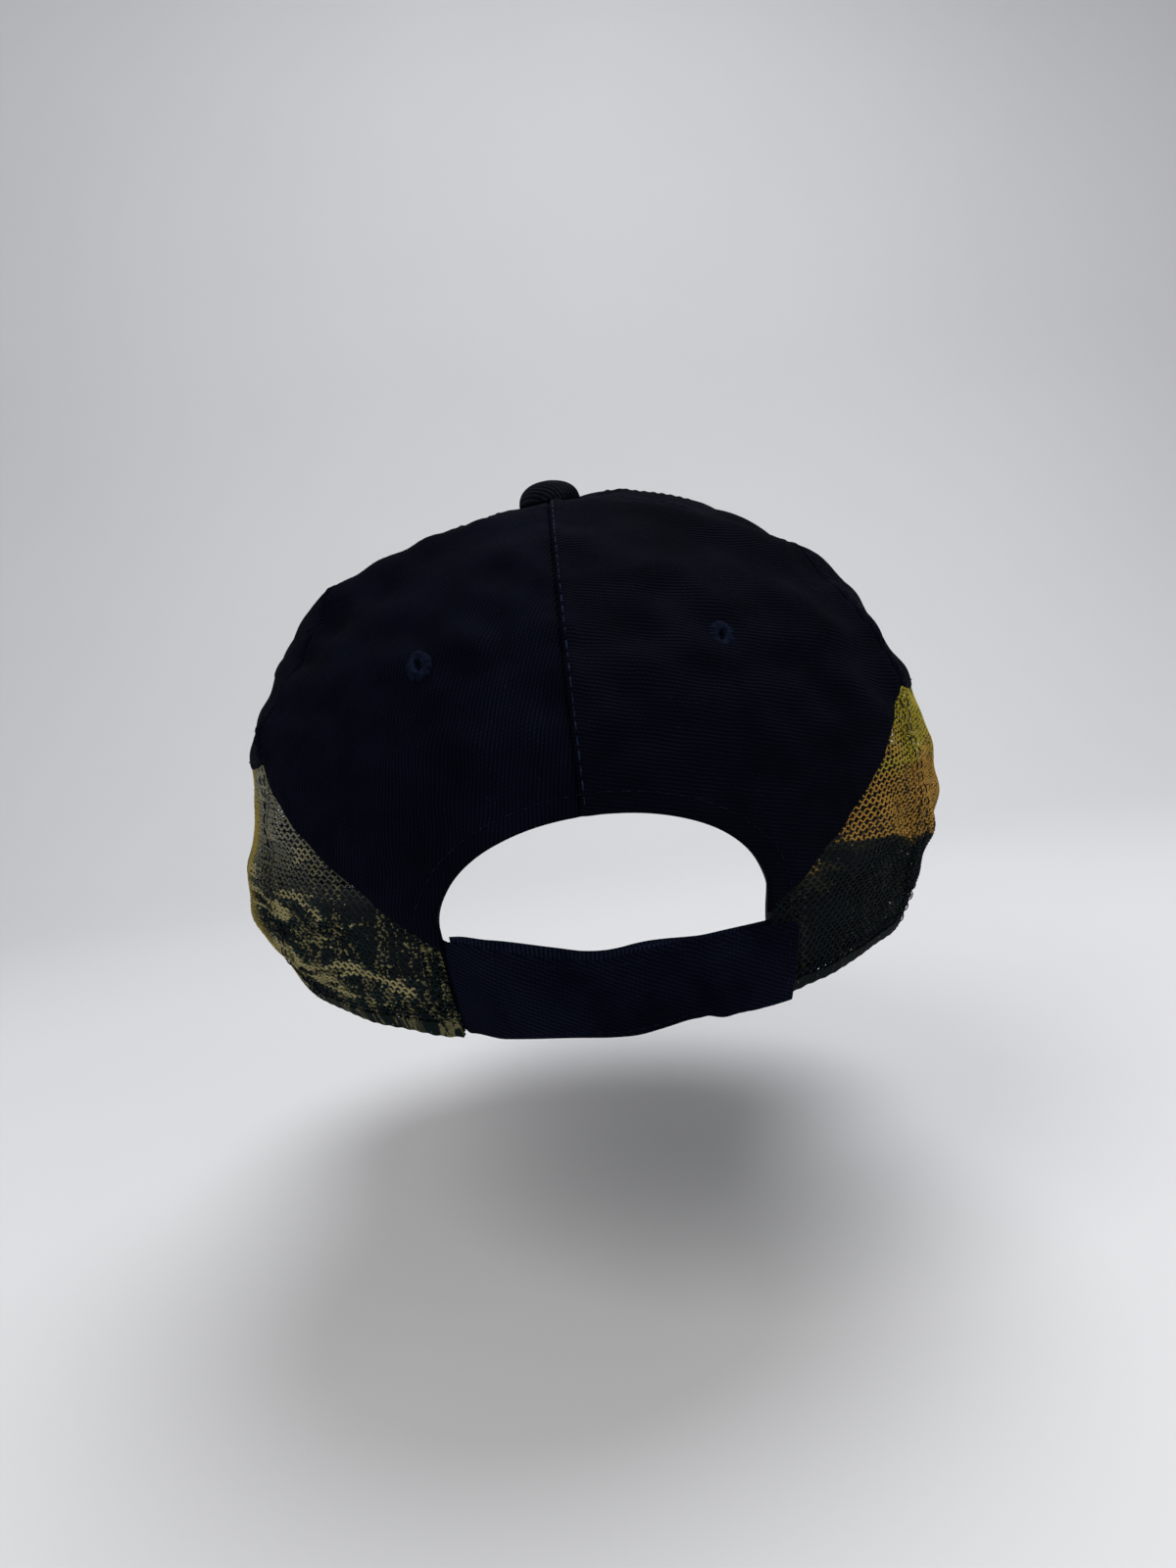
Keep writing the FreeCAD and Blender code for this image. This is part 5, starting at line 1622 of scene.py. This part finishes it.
def visor():
    """Cloth covers with parallel rows of stitches and a rolled cloth edge."""
    columns = 200
    rows = 78
    near = visor_inner(columns)
    far = visor_outline(0.0, columns)
    share = np.linspace(0, 1, rows)[:, None, None]
    plan = near[None] * (1 - share) + far[None] * share
    flat = np.concatenate([far, np.zeros((columns, 1))], 1)
    away = edge_distance(np.concatenate([plan, np.zeros(plan.shape[:2] + (1,))], -1), flat)
    quilt = QUILT * np.cos(TWO_PI * away / VISOR_ROW)
    soft = 0.10 * MM * np.sin(plan[..., 0] / MM * 0.21) * np.sin(plan[..., 1] / MM * 0.13)
    uv = plan / MM
    for name, node, start, up in (("visor_top_cloth", "visor_top_cover", 0.0, 1.0),
                                  ("visor_under_cloth", "visor_under_cover",
                                   VISOR_THICK - VISOR_COVER, -1.0)):
        relief = (quilt + soft - QUILT) * up
        high = start - (relief if up > 0 else 0.0)
        low = start + VISOR_COVER - (0.0 if up > 0 else relief)
        top, _ = on_visor(plan, high)
        bottom, _ = on_visor(plan, low)
        obj = slab(name, top, bottom, uv)
        dress(obj, TWILL_VISOR, "crown", "navy_twill", node)
        declare(uv)
    threads = Strands()
    for k in range(1, 10):
        line = visor_outline(-(k - 0.5) * VISOR_ROW, 420)
        clear = np.hypot(line[:, 0], line[:, 1] - VISOR_INNER_Y) > VISOR_CLEAR
        clear &= line[:, 1] > VISOR_ROOT_START + 3 * MM
        line = line[clear]
        if len(line) < 20:
            continue
        for depth, sign in ((STITCH_SINK, 1), (VISOR_THICK - STITCH_SINK, -1)):
            points, n = on_visor(line, depth)
            stitch_row(threads, points, sign * n, 0.02 * MM)
    dress(threads.build("visor_topstitching"), NAVY_THREAD, "crown", "navy_thread")
    visor_edge()


def visor_edge():
    """Cloth rolled round the rim of the board, seen as a soft half-round edge."""
    count = 260
    section = np.linspace(-math.pi / 2, math.pi / 2, 13)
    rows_out = []
    rows_in = []
    for turn in section:
        reach = VISOR_RIM * math.cos(turn)
        depth = 0.5 * VISOR_THICK * (1 - math.sin(turn))
        edge = visor_outline(reach, count)
        rows_out.append(on_visor(edge, depth)[0])
        edge = visor_outline(0.45 * reach - 0.3 * MM, count)
        core = 0.5 * VISOR_THICK - 0.30 * VISOR_THICK * math.sin(turn)
        rows_in.append(on_visor(edge, core)[0])
    outer = np.array(rows_out)
    inner = np.array(rows_in)
    ripple = 0.09 * MM * np.sin(np.arange(count) * 0.9)[None, :, None]
    middle = outer.mean(0, keepdims=True)
    away = outer - middle
    away /= np.linalg.norm(away, axis=-1, keepdims=True)
    outer = outer + away * ripple * np.cos(section)[:, None, None]
    run = run_length(visor_outline(0.0, count)) / MM
    uv = np.stack(np.meshgrid(run, section * 2.0 + 40), -1)
    obj = slab("visor_edge_cloth", outer, inner, uv)
    dress(obj, TWILL_VISOR, "crown", "navy_twill", "visor_edge")


# ------------------------------------------------------------------ making

for word, side in SIDES:
    back_panel(word, side)
    side_panel(word, side)
    front_panel(word, side)
    mesh_piece(word, side, True)
    mesh_piece(word, side, False)
    for spot in EYELETS:
        eyelet(spot, word, side)
crown_stitches()
loose_threads()
mesh_stitches()
button()
straps()
tabs()
fastener("hook_tape", "hook_patch", -2 * MM, 31 * MM, STRAP_LOW, STRAP_OUT - 0.05 * MM, False,
         HOOK_PLASTIC, "hook_tape", "outer_strap_arm", outer_wave)
fastener("loop_tape", "loop_patch", -19 * MM, 26 * MM, STRAP_LOW + INNER_RISE,
         INNER_OUT + STRAP + 0.05 * MM + 0.5 * FASTENER, True, LOOP_FIBRE, "loop_tape",
         "inner_strap_arm", inner_wave)
seam_tapes()
arch_facing()
buckram()
sweatband()
visor()
for node in ("button_shell", "button_rivet", "button_back_washer"):
    dress_node(node, BUTTON_METAL)
dress_node("visor_board", VISOR_BOARD)

# ------------------------------------------------------------------ camera and light

CAMERA_SPOT = Vector((1.26, -334.3, 81.7)) * MM
CAMERA_PITCH = math.radians(6.25)
CAMERA_YAW = math.radians(1.05)
CAMERA_ROLL = math.radians(6.8)
LENS = 27.05

SKY_STRENGTH = 0.34
# Name, place in metres, height aimed at, size, watts and colour of each lamp.
LAMPS = (("key", (-0.55, -0.75, 0.95), 0.06, 0.7, 7.5, (1.0, 0.98, 0.95)),
         ("top", (0.25, 0.25, 1.2), 0.08, 0.9, 12.0, (0.97, 0.98, 1.0)),
         ("fill", (0.9, -0.5, 0.45), 0.05, 0.8, 3.0, (1.0, 0.98, 0.96)))
FLOOR = -0.09
FLOOR_START = -1.9
FLOOR_REACH = 1.6
WALL = 1.1
WALL_TOP = 2.2
WALL_BEND = 0.5
WALL_STEPS = 12


def add_camera():
    """Camera behind the cap, turned about the cap's upright axis by its yaw."""
    data = bpy.data.cameras.new("camera")
    data.sensor_width = 36
    data.lens = LENS
    data.clip_start = 0.01
    camera = bpy.data.objects.new("camera", data)
    bpy.context.scene.collection.objects.link(camera)
    ahead = Vector((0, math.cos(CAMERA_PITCH), -math.sin(CAMERA_PITCH)))
    level = Vector((1, 0, 0))
    up = Vector((0, math.sin(CAMERA_PITCH), math.cos(CAMERA_PITCH)))
    right = math.cos(CAMERA_ROLL) * level - math.sin(CAMERA_ROLL) * up
    top = math.sin(CAMERA_ROLL) * level + math.cos(CAMERA_ROLL) * up
    basis = Matrix((right, top, -ahead)).transposed().to_4x4()
    turn = Matrix.Rotation(-CAMERA_YAW, 4, "Z")
    camera.matrix_world = turn @ Matrix.Translation(CAMERA_SPOT) @ basis
    bpy.context.scene.camera = camera


def area_light(name, spot, aim, size, watts, colour):
    """Round lamp at a spot, aimed at a height on the cap's axis."""
    data = bpy.data.lights.new(name, "AREA")
    data.shape = "DISK"
    data.size = size
    data.energy = watts
    data.color = colour
    lamp = bpy.data.objects.new(name, data)
    bpy.context.scene.collection.objects.link(lamp)
    lamp.location = spot
    ahead = Vector((0, 0, aim)) - Vector(spot)
    lamp.rotation_euler = ahead.to_track_quat("-Z", "Y").to_euler()


def add_floor():
    """Pale floor that turns up into a wall behind the cap."""
    profile = [(FLOOR_START, FLOOR), (WALL - WALL_BEND, FLOOR)]
    for k in range(1, WALL_STEPS + 1):
        turn = math.pi / 2 * k / WALL_STEPS
        profile.append((WALL - WALL_BEND + WALL_BEND * math.sin(turn),
                        FLOOR + WALL_BEND - WALL_BEND * math.cos(turn)))
    profile.append((WALL, WALL_TOP))
    points = []
    for y, z in profile:
        points += [(-FLOOR_REACH, y, z), (FLOOR_REACH, y, z)]
    faces = []
    for k in range(len(profile) - 1):
        faces.append((2 * k, 2 * k + 1, 2 * k + 3, 2 * k + 2))
    obj = new_object("stage_floor", points, faces)
    g = Graph("pale_floor")
    tone = g.noise(g.place(), 2.2, 4.0)
    obj.data.materials.append(g.finish(g.mix(tone, (0.60, 0.60, 0.61), (0.66, 0.66, 0.67)), 0.85,
                                       tone, 0.5 * MM, 0.1))


def add_lights():
    """Bright even surroundings and the lamps."""
    world = bpy.data.worlds.new("studio")
    world.use_nodes = True
    sky = world.node_tree.nodes["Background"]
    sky.inputs["Color"].default_value = (0.93, 0.96, 1.0, 1.0)
    sky.inputs["Strength"].default_value = SKY_STRENGTH
    bpy.context.scene.world = world
    for lamp in LAMPS:
        area_light(*lamp)


add_camera()
add_floor()
add_lights()
bpy.context.scene.view_settings.view_transform = "Standard"
